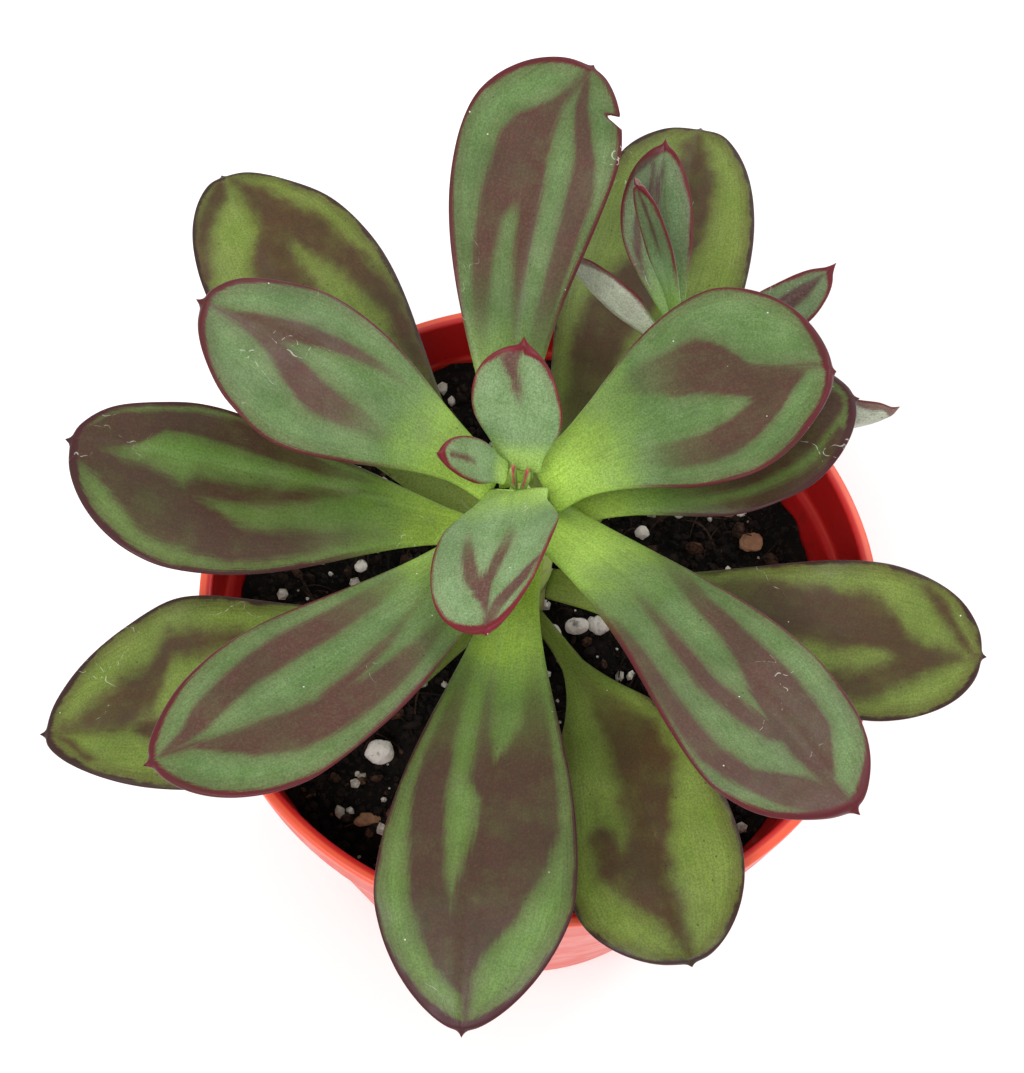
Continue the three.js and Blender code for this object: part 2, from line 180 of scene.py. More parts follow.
def carried_round(profile, sides):
    """Each (radius, height) of the profile turned about the Z axis through a full circle."""
    angle = np.linspace(0, 2 * np.pi, sides, endpoint=False)
    radius, height = profile[:, 0:1], profile[:, 1:2]
    return np.stack([radius * np.cos(angle), radius * np.sin(angle), height + 0 * angle], -1)


pot_profile = rounded([
    (middle_radius, 0), (land_radius, 0), (land_radius + channel, channel),
    (foot_inside - channel, channel), (foot_inside, 0), (base_radius - 0.4 * MM, 0),
    (base_radius, 0.6 * MM), (wall_top_radius, collar_bottom),
    (wall_top_radius + collar_step, collar_bottom + step_rise),
    (rim_radius - 0.7 * MM, pot_height - lip_drop - 0.5 * MM), (rim_radius, pot_height - lip_drop),
    (rim_radius, pot_height - 0.1 * MM), (rim_radius - 0.9 * MM, pot_height),
    (rim_radius - lip_width, pot_height - 0.1 * MM),
    (rim_radius - lip_width - 0.1 * MM, pot_height - 0.9 * MM),
    (wall_top_radius + collar_step - wall, collar_bottom + 1.4 * MM),
    (wall_top_radius - wall, collar_bottom), (base_radius - wall, floor_top + step_rise),
    (base_radius - wall - step_rise, floor_top), (middle_radius, floor_top)], corner_blend)
pot_sides = 160
pot = skin_piece("pot_shell", carried_round(pot_profile, pot_sides), [(0, 0, 0)], [(0, 0, floor_top)])


def cut_drain_holes(piece):
    """Six round holes on a circle through the pot's floor, cut as one boolean and applied."""
    hole_radius, hole_circle, holes, hole_sides = 2.5 * MM, 20 * MM, 6, 32
    angle = np.linspace(0, 2 * np.pi, hole_sides, endpoint=False)
    points, faces = [], []
    for hole in range(holes):
        turn = hole * 2 * np.pi / holes
        x = hole_circle * np.cos(turn) + hole_radius * np.cos(angle)
        y = hole_circle * np.sin(turn) + hole_radius * np.sin(angle)
        start = len(points)
        for height in (-2 * MM, 6 * MM):
            points += np.stack([x, y, 0 * x + height], -1).tolist()
        low = [start + side for side in range(hole_sides)]
        high = [side + hole_sides for side in low]
        faces += [[a, b, c, d] for a, b, c, d in
                  zip(low, low[1:] + low[:1], high[1:] + high[:1], high)]
        faces += [low[::-1], high]
    cutter_mesh = bpy.data.meshes.new("drain_cutter")
    cutter_mesh.from_pydata(points, [], faces)
    cutter = bpy.data.objects.new("drain_cutter", cutter_mesh)
    scene.collection.objects.link(cutter)
    cut = piece.modifiers.new("drain_holes", "BOOLEAN")
    cut.operation, cut.solver, cut.object = "DIFFERENCE", "EXACT", cutter
    whole = bpy.data.meshes.new_from_object(piece.evaluated_get(bpy.context.evaluated_depsgraph_get()))
    piece.modifiers.clear()
    piece.data = whole
    bpy.data.objects.remove(cutter)
    whole.shade_smooth()
    whole.set_sharp_from_angle(angle=40 * DEGREE)


cut_drain_holes(pot)


class Look:
    """A material in the making: its tree, its shader, and short calls that add and join nodes."""

    def __init__(self, name, roughness, specular=0.4):
        self.material, self.shader = new_material(name)
        self.tree = self.material.node_tree
        self.shader.inputs["Roughness"].default_value = roughness
        self.shader.inputs["Specular IOR Level"].default_value = specular
        self.place = self.tree.nodes.new("ShaderNodeTexCoord").outputs["Object"]

    def join(self, value, socket):
        """Links an output to a socket, or sets the socket to a plain value."""
        if isinstance(value, bpy.types.NodeSocket):
            self.tree.links.new(value, socket)
        elif isinstance(value, tuple) and len(value) == 3 and socket.type == "RGBA":
            socket.default_value = (*value, 1)
        else:
            socket.default_value = value

    def noise(self, size, detail=3, where=None, roughness=0.55):
        """Cloudy noise from 0 to 1, with lumps about size metres across."""
        node = self.tree.nodes.new("ShaderNodeTexNoise")
        self.join(where or self.place, node.inputs["Vector"])
        node.inputs["Scale"].default_value = 1 / size
        node.inputs["Detail"].default_value = detail
        node.inputs["Roughness"].default_value = roughness
        return node.outputs["Fac"]

    def spots(self, spacing, radius, share):
        """Round spots: 1 inside radius of a scattered point, and only at a share of the points."""
        node = self.tree.nodes.new("ShaderNodeTexVoronoi")
        self.join(self.place, node.inputs["Vector"])
        node.inputs["Scale"].default_value = 1 / spacing
        near = self.ramp(node.outputs["Distance"], radius / spacing, 0.6 * radius / spacing)
        chosen = self.tree.nodes.new("ShaderNodeSeparateColor")
        self.join(node.outputs["Color"], chosen.inputs["Color"])
        return self.maths("MULTIPLY", near, self.ramp(chosen.outputs["Red"], share, share - 0.01))

    def maths(self, operation, first, second=0.0):
        """One Math node."""
        node = self.tree.nodes.new("ShaderNodeMath")
        node.operation = operation
        self.join(first, node.inputs[0])
        self.join(second, node.inputs[1])
        return node.outputs[0]

    def ramp(self, value, low, high, to_low=0.0, to_high=1.0):
        """Smoothstep: to_low where value is at low, to_high where it is at high."""
        node = self.tree.nodes.new("ShaderNodeMapRange")
        node.interpolation_type = "SMOOTHSTEP"
        for given, socket in zip((value, low, high, to_low, to_high), node.inputs):
            self.join(given, socket)
        return node.outputs["Result"]

    def mix(self, share, first, second):
        """A colour between first and second."""
        node = self.tree.nodes.new("ShaderNodeMix")
        node.data_type = "RGBA"
        self.join(share, node.inputs["Factor"])
        self.join(first, node.inputs[6])
        self.join(second, node.inputs[7])
        return node.outputs[2]

    def attribute(self, name):
        """A number that the mesh holds at each point."""
        node = self.tree.nodes.new("ShaderNodeAttribute")
        node.attribute_name = name
        return node.outputs["Fac"]

    def bump(self, height, depth, strength=1.0, below=None):
        """A bump of a depth in metres, on top of another bump."""
        node = self.tree.nodes.new("ShaderNodeBump")
        node.inputs["Strength"].default_value = strength
        node.inputs["Distance"].default_value = depth
        self.join(height, node.inputs["Height"])
        if below is not None:
            self.join(below, node.inputs["Normal"])
        return node.outputs["Normal"]

    def finish(self, colour, normal=None):
        """Joins the colour and the bump to the shader, and gives the material back."""
        self.join(colour, self.shader.inputs["Base Color"])
        if normal is not None:
            self.join(normal, self.shader.inputs["Normal"])
        return self.material


def shade(red, green, blue):
    """A colour given as screen values from 0 to 255, turned into the shader's linear values."""
    value = np.array([red, green, blue]) / 255
    linear = np.where(value <= 0.04045, value / 12.92, ((value + 0.055) / 1.055) ** 2.4)
    return tuple(float(part) for part in linear)


def pot_plastic():
    """Smooth satin plastic with faint flow clouds and fine scuffs. The top of the lip is lighter, a
    painted highlight, and the inside is a deeper, darker red, painted shade, with peat dust on it.
    The inside is where the radius, less the wall's taper, lies within the wall, or within the
    collar above the step."""
    look = Look("pot_plastic", 0.36, 0.45)
    look.shader.inputs["Subsurface Weight"].default_value = 0.12
    look.shader.inputs["Subsurface Radius"].default_value = (1.0, 0.25, 0.12)
    look.shader.inputs["Subsurface Scale"].default_value = 1.5 * MM
    split = look.tree.nodes.new("ShaderNodeSeparateXYZ")
    look.join(look.place, split.inputs[0])
    height = split.outputs["Z"]
    across = look.maths("SQRT", look.maths("ADD", look.maths("POWER", split.outputs["X"], 2),
                                           look.maths("POWER", split.outputs["Y"], 2)))
    # The top of the rolled lip is mixed towards a lighter orange: a painted highlight where light falls on
    # it.
    lip = look.maths("MULTIPLY",
                     look.ramp(height, pot_height - lip_drop, pot_height - lip_drop / 2),
                     look.ramp(across, rim_radius - 2 * MM, rim_radius - 1.4 * MM))
    body = look.mix(look.noise(14 * MM), shade(196, 54, 34), shade(212, 66, 42))
    body = look.mix(lip, body, shade(222, 84, 56))

    wall_taper = 0.17
    taper = look.maths("SUBTRACT", across, look.maths("MULTIPLY", height, wall_taper))
    in_wall = look.ramp(taper, base_radius - 0.2 * MM, base_radius - 0.6 * MM)
    in_collar = look.maths(
        "MULTIPLY", look.ramp(across, rim_radius - 1.4 * MM, rim_radius - lip_width),
        look.ramp(height, collar_bottom + step_rise, collar_bottom + step_rise + 0.4 * MM))
    inside = look.maths("MAXIMUM", in_wall, in_collar)
    # The inside of the wall and collar is mixed to a deeper, darker red: painted shade inside the pot.
    body = look.mix(inside, body, shade(184, 26, 26))

    dust = look.ramp(look.noise(3 * MM, 6, roughness=0.7), 0.56, 0.72)
    crumbs = look.spots(1.6 * MM, 0.36 * MM, 0.22)
    dirt = look.maths("MAXIMUM", look.maths("MULTIPLY", dust, 0.5), crumbs)
    dirt = look.maths("MULTIPLY", dirt, look.ramp(height, 75 * MM, 60 * MM))
    body = look.mix(look.maths("MULTIPLY", dirt, inside), body, shade(52, 32, 26))
    scuffs = look.noise(0.5 * MM, 4)
    sheen = look.ramp(look.noise(6 * MM, 4), 0.3, 0.7, 0.32, 0.45)
    look.join(sheen, look.shader.inputs["Roughness"])
    return look.finish(body, look.bump(scuffs, 0.03 * MM, 0.35))


pot.data.materials.append(pot_plastic())
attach(pot, "root")
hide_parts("pot")

# ---------------------------------------------------------------------------------------
# The potting mix: near-black peat that fills the pot to an uneven, sloping top, with loose
# crumbs, bark bits and root fibres on it. The top is a polar grid lifted by layers of noise.

soil_points = np.array([vertex.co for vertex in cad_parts["soil"].data.vertices])
stem_low, stem_high = (np.array(corner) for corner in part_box("stem"))
stem_middle = (stem_low + stem_high) / 2
from_stem = np.hypot(soil_points[:, 0] - stem_middle[0], soil_points[:, 1] - stem_middle[1])
lowest_top, stem_clear = 50 * MM, 6 * MM
soil_top = soil_points[(soil_points[:, 2] > lowest_top) & (from_stem > stem_clear)]
plane_terms = np.column_stack([np.ones(len(soil_top)), soil_top[:, 0], soil_top[:, 1]])
soil_plane = np.linalg.lstsq(plane_terms, soil_top[:, 2], rcond=None)[0]


def value_noise(x, y, size, seed):
    """Smooth random heights from -1 to 1: a seeded table of heights on a square lattice of a
    given size, blended between its corners by the smoothstep curve."""
    cells = 64
    table = np.random.default_rng(seed).uniform(-1, 1, (cells, cells))
    column, row = np.floor(x / size).astype(int), np.floor(y / size).astype(int)
    across, up = x / size - column, y / size - row
    across, up = across**2 * (3 - 2 * across), up**2 * (3 - 2 * up)
    column, row = column % cells, row % cells
    next_column, next_row = (column + 1) % cells, (row + 1) % cells
    low = table[row, column] * (1 - across) + table[row, next_column] * across
    high = table[next_row, column] * (1 - across) + table[next_row, next_column] * across
    return low * (1 - up) + high * up


def soil_height(x, y):
    """The soil's sloping plane with four layers of noise, each finer and lower than the last."""
    height = soil_plane[0] + soil_plane[1] * x + soil_plane[2] * y
    for size, lift, seed in ((9, 1.0, 1), (4, 0.8, 2), (1.8, 0.55, 3), (0.8, 0.3, 4)):
        height = height + lift * MM * value_noise(x, y, size * MM, seed)
    return height


def inner_wall(height):
    """The radius of the pot's inner wall at a height under the collar."""
    share = (height - floor_top) / (collar_bottom - floor_top)
    return base_radius - wall + share * (wall_top_radius - base_radius)


soil_gap = 0.25 * MM
soil_sides = 260
angle = np.linspace(0, 2 * np.pi, soil_sides, endpoint=False)
edge = inner_wall(soil_plane[0]) - soil_gap
edge_height = soil_height(edge * np.cos(angle), edge * np.sin(angle))
edge_radius = inner_wall(edge_height) - soil_gap
shares = np.sin(np.linspace(np.pi / 2, 0.012, 100))[:, None]
top_x, top_y = shares * edge_radius * np.cos(angle), shares * edge_radius * np.sin(angle)
top_rows = np.stack([top_x, top_y, soil_height(top_x, top_y)], -1)
side_heights = np.array([floor_top + soil_gap, floor_top + 1 * MM, 0.5 * pot_height])[:, None]
side_radius = inner_wall(side_heights) - soil_gap - np.array([1.0, 0, 0])[:, None] * MM
side_rows = np.stack([side_radius * np.cos(angle), side_radius * np.sin(angle),
                      side_heights + 0 * angle], -1)
middle_height = float(soil_height(np.zeros(1), np.zeros(1))[0])
soil = skin_piece("potting_mix", np.concatenate([side_rows, top_rows]),
                  [(0, 0, floor_top + soil_gap)], [(0, 0, middle_height)])


def peat_look():
    """Damp black peat, browner on its high spots, with grainy lumps."""
    look = Look("peat", 0.95, 0.2)
    colour = look.mix(look.ramp(look.noise(5 * MM, 4), 0.35, 0.65), shade(9, 7, 6), shade(22, 17, 14))
    colour = look.mix(look.ramp(look.noise(0.7 * MM, 3), 0.56, 0.7), colour, shade(44, 34, 27))
    colour = look.mix(look.spots(2.4 * MM, 0.22 * MM, 0.2), colour, shade(168, 158, 142))
    grain = look.bump(look.noise(0.9 * MM, 6, roughness=0.7), 0.6 * MM, 0.9)
    return look.finish(colour, grain)


soil.data.materials.append(peat_look())
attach(soil, "root")
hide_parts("soil")

golden = (1 + 5**0.5) / 2
ball = np.array([(-1, golden, 0), (1, golden, 0), (-1, -golden, 0), (1, -golden, 0),
                 (0, -1, golden), (0, 1, golden), (0, -1, -golden), (0, 1, -golden),
                 (golden, 0, -1), (golden, 0, 1), (-golden, 0, -1), (-golden, 0, 1)])
ball /= np.linalg.norm(ball[0])
ball_faces = np.array([(0, 11, 5), (0, 5, 1), (0, 1, 7), (0, 7, 10), (0, 10, 11),
                       (1, 5, 9), (5, 11, 4), (11, 10, 2), (10, 7, 6), (7, 1, 8),
                       (3, 9, 4), (3, 4, 2), (3, 2, 6), (3, 6, 8), (3, 8, 9),
                       (4, 9, 5), (2, 4, 11), (6, 2, 10), (8, 6, 7), (9, 8, 1)])


def random_turns(random, count):
    """Rotation matrices of evenly spread random quaternions."""
    w, x, y, z = random.normal(size=(4, count))
    length = np.sqrt(w * w + x * x + y * y + z * z)
    w, x, y, z = w / length, x / length, y / length, z / length
    return np.stack([
        np.stack([1 - 2 * (y * y + z * z), 2 * (x * y - w * z), 2 * (x * z + w * y)], -1),
        np.stack([2 * (x * y + w * z), 1 - 2 * (x * x + z * z), 2 * (y * z - w * x)], -1),
        np.stack([2 * (x * z - w * y), 2 * (y * z + w * x), 1 - 2 * (x * x + y * y)], -1)], 1)


def scattered_places(random, count, margin):
    """Random points on the soil's top, even over its area and clear of the pot's wall."""
    radius = (edge - margin) * np.sqrt(random.uniform(0.0, 1, count))
    turn = random.uniform(0, 2 * np.pi, count)
    x, y = radius * np.cos(turn), radius * np.sin(turn)
    return np.stack([x, y, soil_height(x, y)], -1)


def many_bits(name, points, faces, tones):
    """One mesh of many loose bits: points is bits by corners by xyz, and all bits share their
    faces. Each bit's tone is held at its points."""
    count, corners = points.shape[:2]
    starts = (np.arange(count) * corners)[:, None, None]
    mesh = bpy.data.meshes.new(name)
    mesh.from_pydata(points.reshape(-1, 3).tolist(), [],
                     (faces[None] + starts).reshape(-1, faces.shape[1]).tolist())
    tone = mesh.attributes.new("tone", "FLOAT", "POINT")
    tone.data.foreach_set("value", np.repeat(tones, corners).astype(np.float32))
    piece = bpy.data.objects.new(name, mesh)
    scene.collection.objects.link(piece)
    return piece


def make_crumbs(name, count, sizes, flatness, sink, seed, margin=1.2 * MM):
    """Crumbs: balls of twenty faces with each corner pushed in or out, squashed by a random
    flatness, turned at random and sunk partly into the soil."""
    random = np.random.default_rng(seed)
    corners = ball * random.uniform(0.7, 1.15, (count, 12, 1))
    size = sizes[0] + (sizes[1] - sizes[0]) * random.uniform(0, 1, count) ** 2.2
    squash = random.uniform(*flatness, (count, 1, 3))
    corners = corners * squash * size[:, None, None] / 2
    corners = np.einsum("nij,nkj->nki", random_turns(random, count), corners)
    places = scattered_places(random, count, margin)
    places[:, 2] += sink * size
    return many_bits(name, corners + places[:, None], ball_faces, random.uniform(0, 1, count))


def make_fibres(name, count, lengths, thickness, seed):
    """Root fibres: thin four-sided tubes along arcs that lie on the soil, each bent at random and
    lifted a little in its middle."""
    random = np.random.default_rng(seed)
    steps, sides = 7, 4
    share = np.linspace(-0.5, 0.5, steps)
    length = random.uniform(*lengths, count)[:, None]
    heading = random.uniform(0, 2 * np.pi, count)[:, None]
    heading = heading + random.uniform(-1.4, 1.4, count)[:, None] * share
    step_x, step_y = np.cos(heading) * length / steps, np.sin(heading) * length / steps
    places = scattered_places(random, count, 4 * MM)
    x = places[:, 0:1] + np.cumsum(step_x, 1) - step_x.sum(1, keepdims=True) / 2
    y = places[:, 1:2] + np.cumsum(step_y, 1) - step_y.sum(1, keepdims=True) / 2
    reach = np.hypot(x, y)
    inside = np.minimum(1, (edge - 0.8 * MM) / reach)
    x, y = x * inside, y * inside
    arch = random.uniform(0, 1.6, count)[:, None] * MM * (1 - 4 * share**2)
    z = soil_plane[0] + soil_plane[1] * x + soil_plane[2] * y + 0.8 * MM + arch
    radius = random.uniform(*thickness, count)[:, None] / 2 * (1 - 1.6 * share**2)
    turn = np.arange(sides) * np.pi / 2
    level = np.stack([-np.sin(heading), np.cos(heading), 0 * heading], -1)
    ring = (np.cos(turn)[:, None] * level[:, :, None, :]
            + np.sin(turn)[:, None] * np.array([0, 0, 1.0]))
    points = np.stack([x, y, z], -1)[:, :, None, :] + radius[:, :, None, None] * ring
    step, side = np.meshgrid(np.arange(steps - 1), np.arange(sides), indexing="ij")
    near, past = step * sides + side, step * sides + (side + 1) % sides
    faces = np.stack([near, past, past + sides, near + sides], -1).reshape(-1, 4)
    caps = np.array([[3, 2, 1, 0], [0, 1, 2, 3]]) + np.array([[0], [(steps - 1) * sides]])
    return many_bits(name, points.reshape(count, -1, 3), np.vstack([faces, caps]),
                     random.uniform(0, 1, count))


def bits_look(name, dark, light, roughness):
    """Loose bits between a dark and a light colour by their tone, with a fine grain."""
    look = Look(name, roughness, 0.25)
    colour = look.mix(look.attribute("tone"), dark, light)
    colour = look.mix(look.ramp(look.noise(0.5 * MM, 4), 0.4, 0.7), colour, dark)
    return look.finish(colour, look.bump(look.noise(0.35 * MM, 4), 0.2 * MM, 0.7))


loose_bits = [
    (make_crumbs("peat_crumbs", 5200, (0.5 * MM, 2.4 * MM), (0.6, 1.0), 0.12, 11),
     bits_look("peat_crumb", shade(8, 6, 5), shade(40, 30, 24), 0.95), "soil"),
    (make_crumbs("bark_bits", 420, (1.0 * MM, 4.2 * MM), (0.22, 1.0), 0.2, 12, 2.4 * MM),
     bits_look("bark_bit", shade(18, 13, 10), shade(96, 66, 48), 0.85), "bark"),
    (make_crumbs("perlite_bits", 340, (0.4 * MM, 2.8 * MM), (0.7, 1.0), 0.3, 13),
     bits_look("perlite_bit", shade(168, 160, 148), shade(236, 232, 222), 0.9), "perlite"),
    (make_fibres("root_fibres", 300, (2 * MM, 8 * MM), (0.12 * MM, 0.34 * MM), 14),
     bits_look("root_fibre", shade(14, 10, 8), shade(70, 50, 38), 0.9), "soil"),
]
for bits, look, bits_slot in loose_bits:
    bits.data.materials.append(look)
    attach(bits, "root")

# ---------------------------------------------------------------------------------------
# Perlite grains: puffed white volcanic glass, lumpy and pitted. Each is a ball whose radius is
# pushed in and out by waves, set in the box of its solid. Some peat dust clings to them.


def lumpy_ball(name, low, high, lumpiness, power, seed):
    """A closed ball in a box: latitude by longitude, with its sines and cosines raised to a power
    (1 is round, less is blockier), and its radius pushed in and out by random plane waves."""
    low, high = np.array(low), np.array(high)
    random = np.random.default_rng(seed)
    rise = np.linspace(-np.pi / 2, np.pi / 2, 28)[1:-1, None]
    turn = np.linspace(0, 2 * np.pi, 44, endpoint=False)

    def blunt(value):
        return np.sign(value) * np.abs(value) ** power

    unit = np.stack([blunt(np.cos(rise)) * blunt(np.cos(turn)), blunt(np.cos(rise)) * blunt(np.sin(turn)),
                     blunt(np.sin(rise)) + 0 * turn], -1)
    push = np.zeros(unit.shape[:2])
    for wave in range(14):
        direction = random.normal(size=3) * (1.5 + 0.45 * wave)
        push += np.sin(unit @ direction + random.uniform(0, 6)) / (2 + wave)
    rows = (low + high) / 2 + unit * (1 + lumpiness * push)[..., None] * (high - low) / 2
    poles = [(low + high) / 2 + np.array([0, 0, end]) * (high - low) / 2 for end in (-0.97, 0.97)]
    return skin_piece(name, rows, [poles[0]], [poles[1]])


def perlite_look():
    """Chalky white with grey pits and a little clinging peat."""
    look = Look("perlite", 0.9, 0.25)
    colour = look.mix(look.noise(1.1 * MM), shade(204, 196, 184), shade(244, 241, 234))
    pits = look.ramp(look.noise(0.4 * MM, 5, roughness=0.7), 0.58, 0.72)
    colour = look.mix(pits, colour, shade(120, 106, 92))
    colour = look.mix(look.ramp(look.noise(1.9 * MM, 5), 0.58, 0.7, 0.0, 0.75), colour, shade(66, 50, 40))
    return look.finish(colour, look.bump(look.noise(0.35 * MM, 5), 0.25 * MM, 0.9))


def bark_look():
    """Tan inner bark with darker lengthwise fibre."""
    look = Look("bark", 0.85, 0.25)
    colour = look.mix(look.noise(0.9 * MM, 5), shade(112, 74, 52), shade(178, 136, 106))
    return look.finish(colour, look.bump(look.noise(0.3 * MM, 5), 0.25 * MM, 0.9))


perlite, bark = perlite_look(), bark_look()
for node in sorted(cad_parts):
    if node.startswith(("perlite_grain", "bark_chip")):
        is_perlite = node.startswith("perlite")
        grain = lumpy_ball(node + "_skin", *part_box(node), 0.16 if is_perlite else 0.22,
                           1.0 if is_perlite else 0.7, sum(map(ord, node)))
        grain.data.materials.append(perlite if is_perlite else bark)
        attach(grain, "root")
        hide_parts(node)

# ---------------------------------------------------------------------------------------
# The stems: one short green stem for the main rosette, and a thin one that carries the offset.
# Each is a tube along its solid's own rings, swollen a little where old leaves came away.


def solid_rings(node, sides):
    """The rings of a solid that was skinned over rings of points: its two end points have the
    most neighbours, and each other point's ring is how many edges it lies from the lower end.
    Returns the first end, the rings in order (points unsorted), and the last end."""
    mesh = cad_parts[node].data
    raw = np.empty(len(mesh.vertices) * 3)
    mesh.vertices.foreach_get("co", raw)
    mesh.calc_loop_triangles()
    triangles = np.empty(len(mesh.loop_triangles) * 3, int)
    mesh.loop_triangles.foreach_get("vertices", triangles)
    keys, merged = np.unique(np.round(raw.reshape(-1, 3) * 1e6).astype(int), axis=0, return_inverse=True)
    points, corners = keys * 1e-6, merged.reshape(-1)[triangles].reshape(-1, 3)
    joined = np.zeros((len(points), len(points)), bool)
    for first, second in ((0, 1), (1, 2), (2, 0)):
        joined[corners[:, first], corners[:, second]] = True
    joined |= joined.T
    ends = np.argsort(joined.sum(1))[-2:]
    ring_of = np.full(len(points), -1)
    ring_of[ends[0]] = 0
    reached = ring_of == 0
    for ring in range(1, len(points)):
        fresh = joined[reached].any(0) & (ring_of < 0)
        if not fresh.any():
            break
        ring_of[fresh] = ring
        reached = fresh
    rings = [points[ring_of == ring] for ring in range(1, ring_of.max())]
    assert all(len(ring) == sides for ring in rings), node
    return points[ends[0]], rings, points[ends[1]]


def along_rows(values, places):
    """Values between rows: a cubic through the rows (Catmull-Rom), read at fractional places."""
    padded = np.concatenate([2 * values[:1] - values[1:2], values, 2 * values[-1:] - values[-2:-1]])
    row = np.clip(np.floor(places).astype(int), 0, len(values) - 2)
    share = (places - row).reshape((-1,) + (1,) * (values.ndim - 1))
    before, start, end, after = (padded[row + step] for step in range(4))
    return (start + 0.5 * share * (end - before
            + share * (2 * before - 5 * start + 4 * end - after
            + share * (3 * (start - end) + after - before))))


def unit(vectors):
    """Vectors of length one."""
    return vectors / np.linalg.norm(vectors, axis=-1, keepdims=True)


def stem_tube(node, seed):
    """A round tube along the middles of a stem's rings, with their radii, plus low swellings."""
    first, rings, last = solid_rings(node, 10)
    if first[2] > last[2]:
        first, rings, last = last, rings[::-1], first
    middles = np.array([ring.mean(0) for ring in rings])
    radii = np.array([np.linalg.norm(ring - ring.mean(0), axis=1).mean() for ring in rings])
    places = np.linspace(0, len(rings) - 1, 90)
    middle, radius = along_rows(middles, places), along_rows(radii, places)
    along = unit(np.gradient(middle, axis=0))
    across = unit(np.cross(np.array([0, 1.0, 0]), along))
    third = np.cross(along, across)
    turn = np.linspace(0, 2 * np.pi, 40, endpoint=False)
    swell = value_noise(places[:, None] * 3 * MM, (turn * radii.mean() + 0 * places[:, None]), 2 * MM, seed)
    reach = radius[:, None] * (1 + 0.05 * swell + 0.04 * np.sin(places * 5)[:, None])
    rows = (middle[:, None] + reach[..., None] * (np.cos(turn)[:, None] * across[:, None]
            + np.sin(turn)[:, None] * third[:, None]))
    return skin_piece(node + "_skin", rows, [first], [last])


def stem_look():
    """Waxy yellow-green skin, corky brown low down, with a rosy flush."""
    look = Look("stem_skin", 0.5, 0.4)
    look.shader.inputs["Subsurface Weight"].default_value = 0.1
    look.shader.inputs["Subsurface Scale"].default_value = 1.5 * MM
    split = look.tree.nodes.new("ShaderNodeSeparateXYZ")
    look.join(look.place, split.inputs[0])
    colour = look.mix(look.noise(3 * MM), shade(150, 176, 84), shade(196, 214, 128))
    colour = look.mix(look.ramp(look.noise(2 * MM, 4), 0.5, 0.75, 0.0, 0.5), colour, shade(158, 96, 84))
    cork = look.ramp(split.outputs["Z"], 82 * MM, 68 * MM)
    colour = look.mix(cork, colour, look.mix(look.noise(1 * MM, 5), shade(92, 68, 48), shade(142, 118, 84)))
    return look.finish(colour, look.bump(look.noise(0.8 * MM, 4), 0.2 * MM, 0.6))


stem_skin = stem_look()
for node, seed in (("stem", 21), ("side_stem", 22)):
    stem = stem_tube(node, seed)
    stem.data.materials.append(stem_skin)
    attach(stem, "root")
    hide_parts(node)

# ---------------------------------------------------------------------------------------
# The leaves: thick, smooth and spoon-shaped, with a shallow channel, a small hooked point, a
# crimson edge, and purple bands that run from the base and meet before the tip. Each is a skin
# over two parameters, the place along the leaf in rings (0 base, 14 tip) and the turn round it.

leaf_rings = 14


def leaf_lines(node, root):
    """A leaf solid's own lines, one row for each ring and one for the tip: the midrib, how far
    and which way each edge lies from it, the edges' lift towards the upper face, the upper face's
    direction, and half the thickness."""
    first, rings, last = solid_rings(node, 12)
    if np.linalg.norm(first - root) > np.linalg.norm(last - root):
        first, rings, last = last, rings[::-1], first
    rings = np.array(rings)
    middles = rings.mean(1)
    along = unit(np.gradient(np.vstack([middles, last]), axis=0)[:-1])
    apart = np.linalg.norm(rings[:, :, None] - rings[:, None], axis=-1).reshape(len(rings), -1)
    widest = apart.argmax(1)
    every = np.arange(len(rings))
    edge_a, edge_b = rings[every, widest // 12], rings[every, widest % 12]
    side = edge_a - edge_b
    for ring in range(len(rings) - 2, -1, -1):
        if side[ring] @ side[ring + 1] < 0:
            side[ring] *= -1
            edge_a[ring], edge_b[ring] = edge_b[ring].copy(), edge_a[ring].copy()
    side = unit(side - along * (side * along).sum(-1, keepdims=True))
    face = np.cross(along, side)
    lift = (((edge_a + edge_b) / 2 - middles) * face).sum(-1)
    if lift.sum() < 0:
        edge_a, edge_b, side, face = edge_b, edge_a, -side, -face
    offset = rings - middles[:, None]
    turn = np.arctan2((offset * face[:, None]).sum(-1), (offset * side[:, None]).sum(-1))
    first_turn = np.arctan2(((edge_a - middles) * face).sum(-1), ((edge_a - middles) * side).sum(-1))
    order = np.argsort(np.mod(turn - first_turn[:, None] + 1e-4, 2 * np.pi), axis=1)
    rings = np.take_along_axis(rings, order[..., None], axis=1)
    midrib = (rings[:, 3] + rings[:, 9]) / 2
    face = unit(rings[:, 3] - rings[:, 9])
    half_thick = np.linalg.norm(rings[:, 3] - rings[:, 9], axis=-1, keepdims=True) / 2
    lines = {"midrib": np.vstack([midrib, last]), "face": np.vstack([face, face[-1:]]),
             "half_thick": np.vstack([half_thick, 0.25 * half_thick[-1:]])}
    for name, edge in (("a", rings[:, 0]), ("b", rings[:, 6])):
        rise = ((edge - midrib) * face).sum(-1, keepdims=True)
        lines["reach_" + name] = np.vstack([edge - midrib - rise * face, np.zeros((1, 3))])
        lines["rise_" + name] = np.vstack([rise, [[0]]])
    return lines


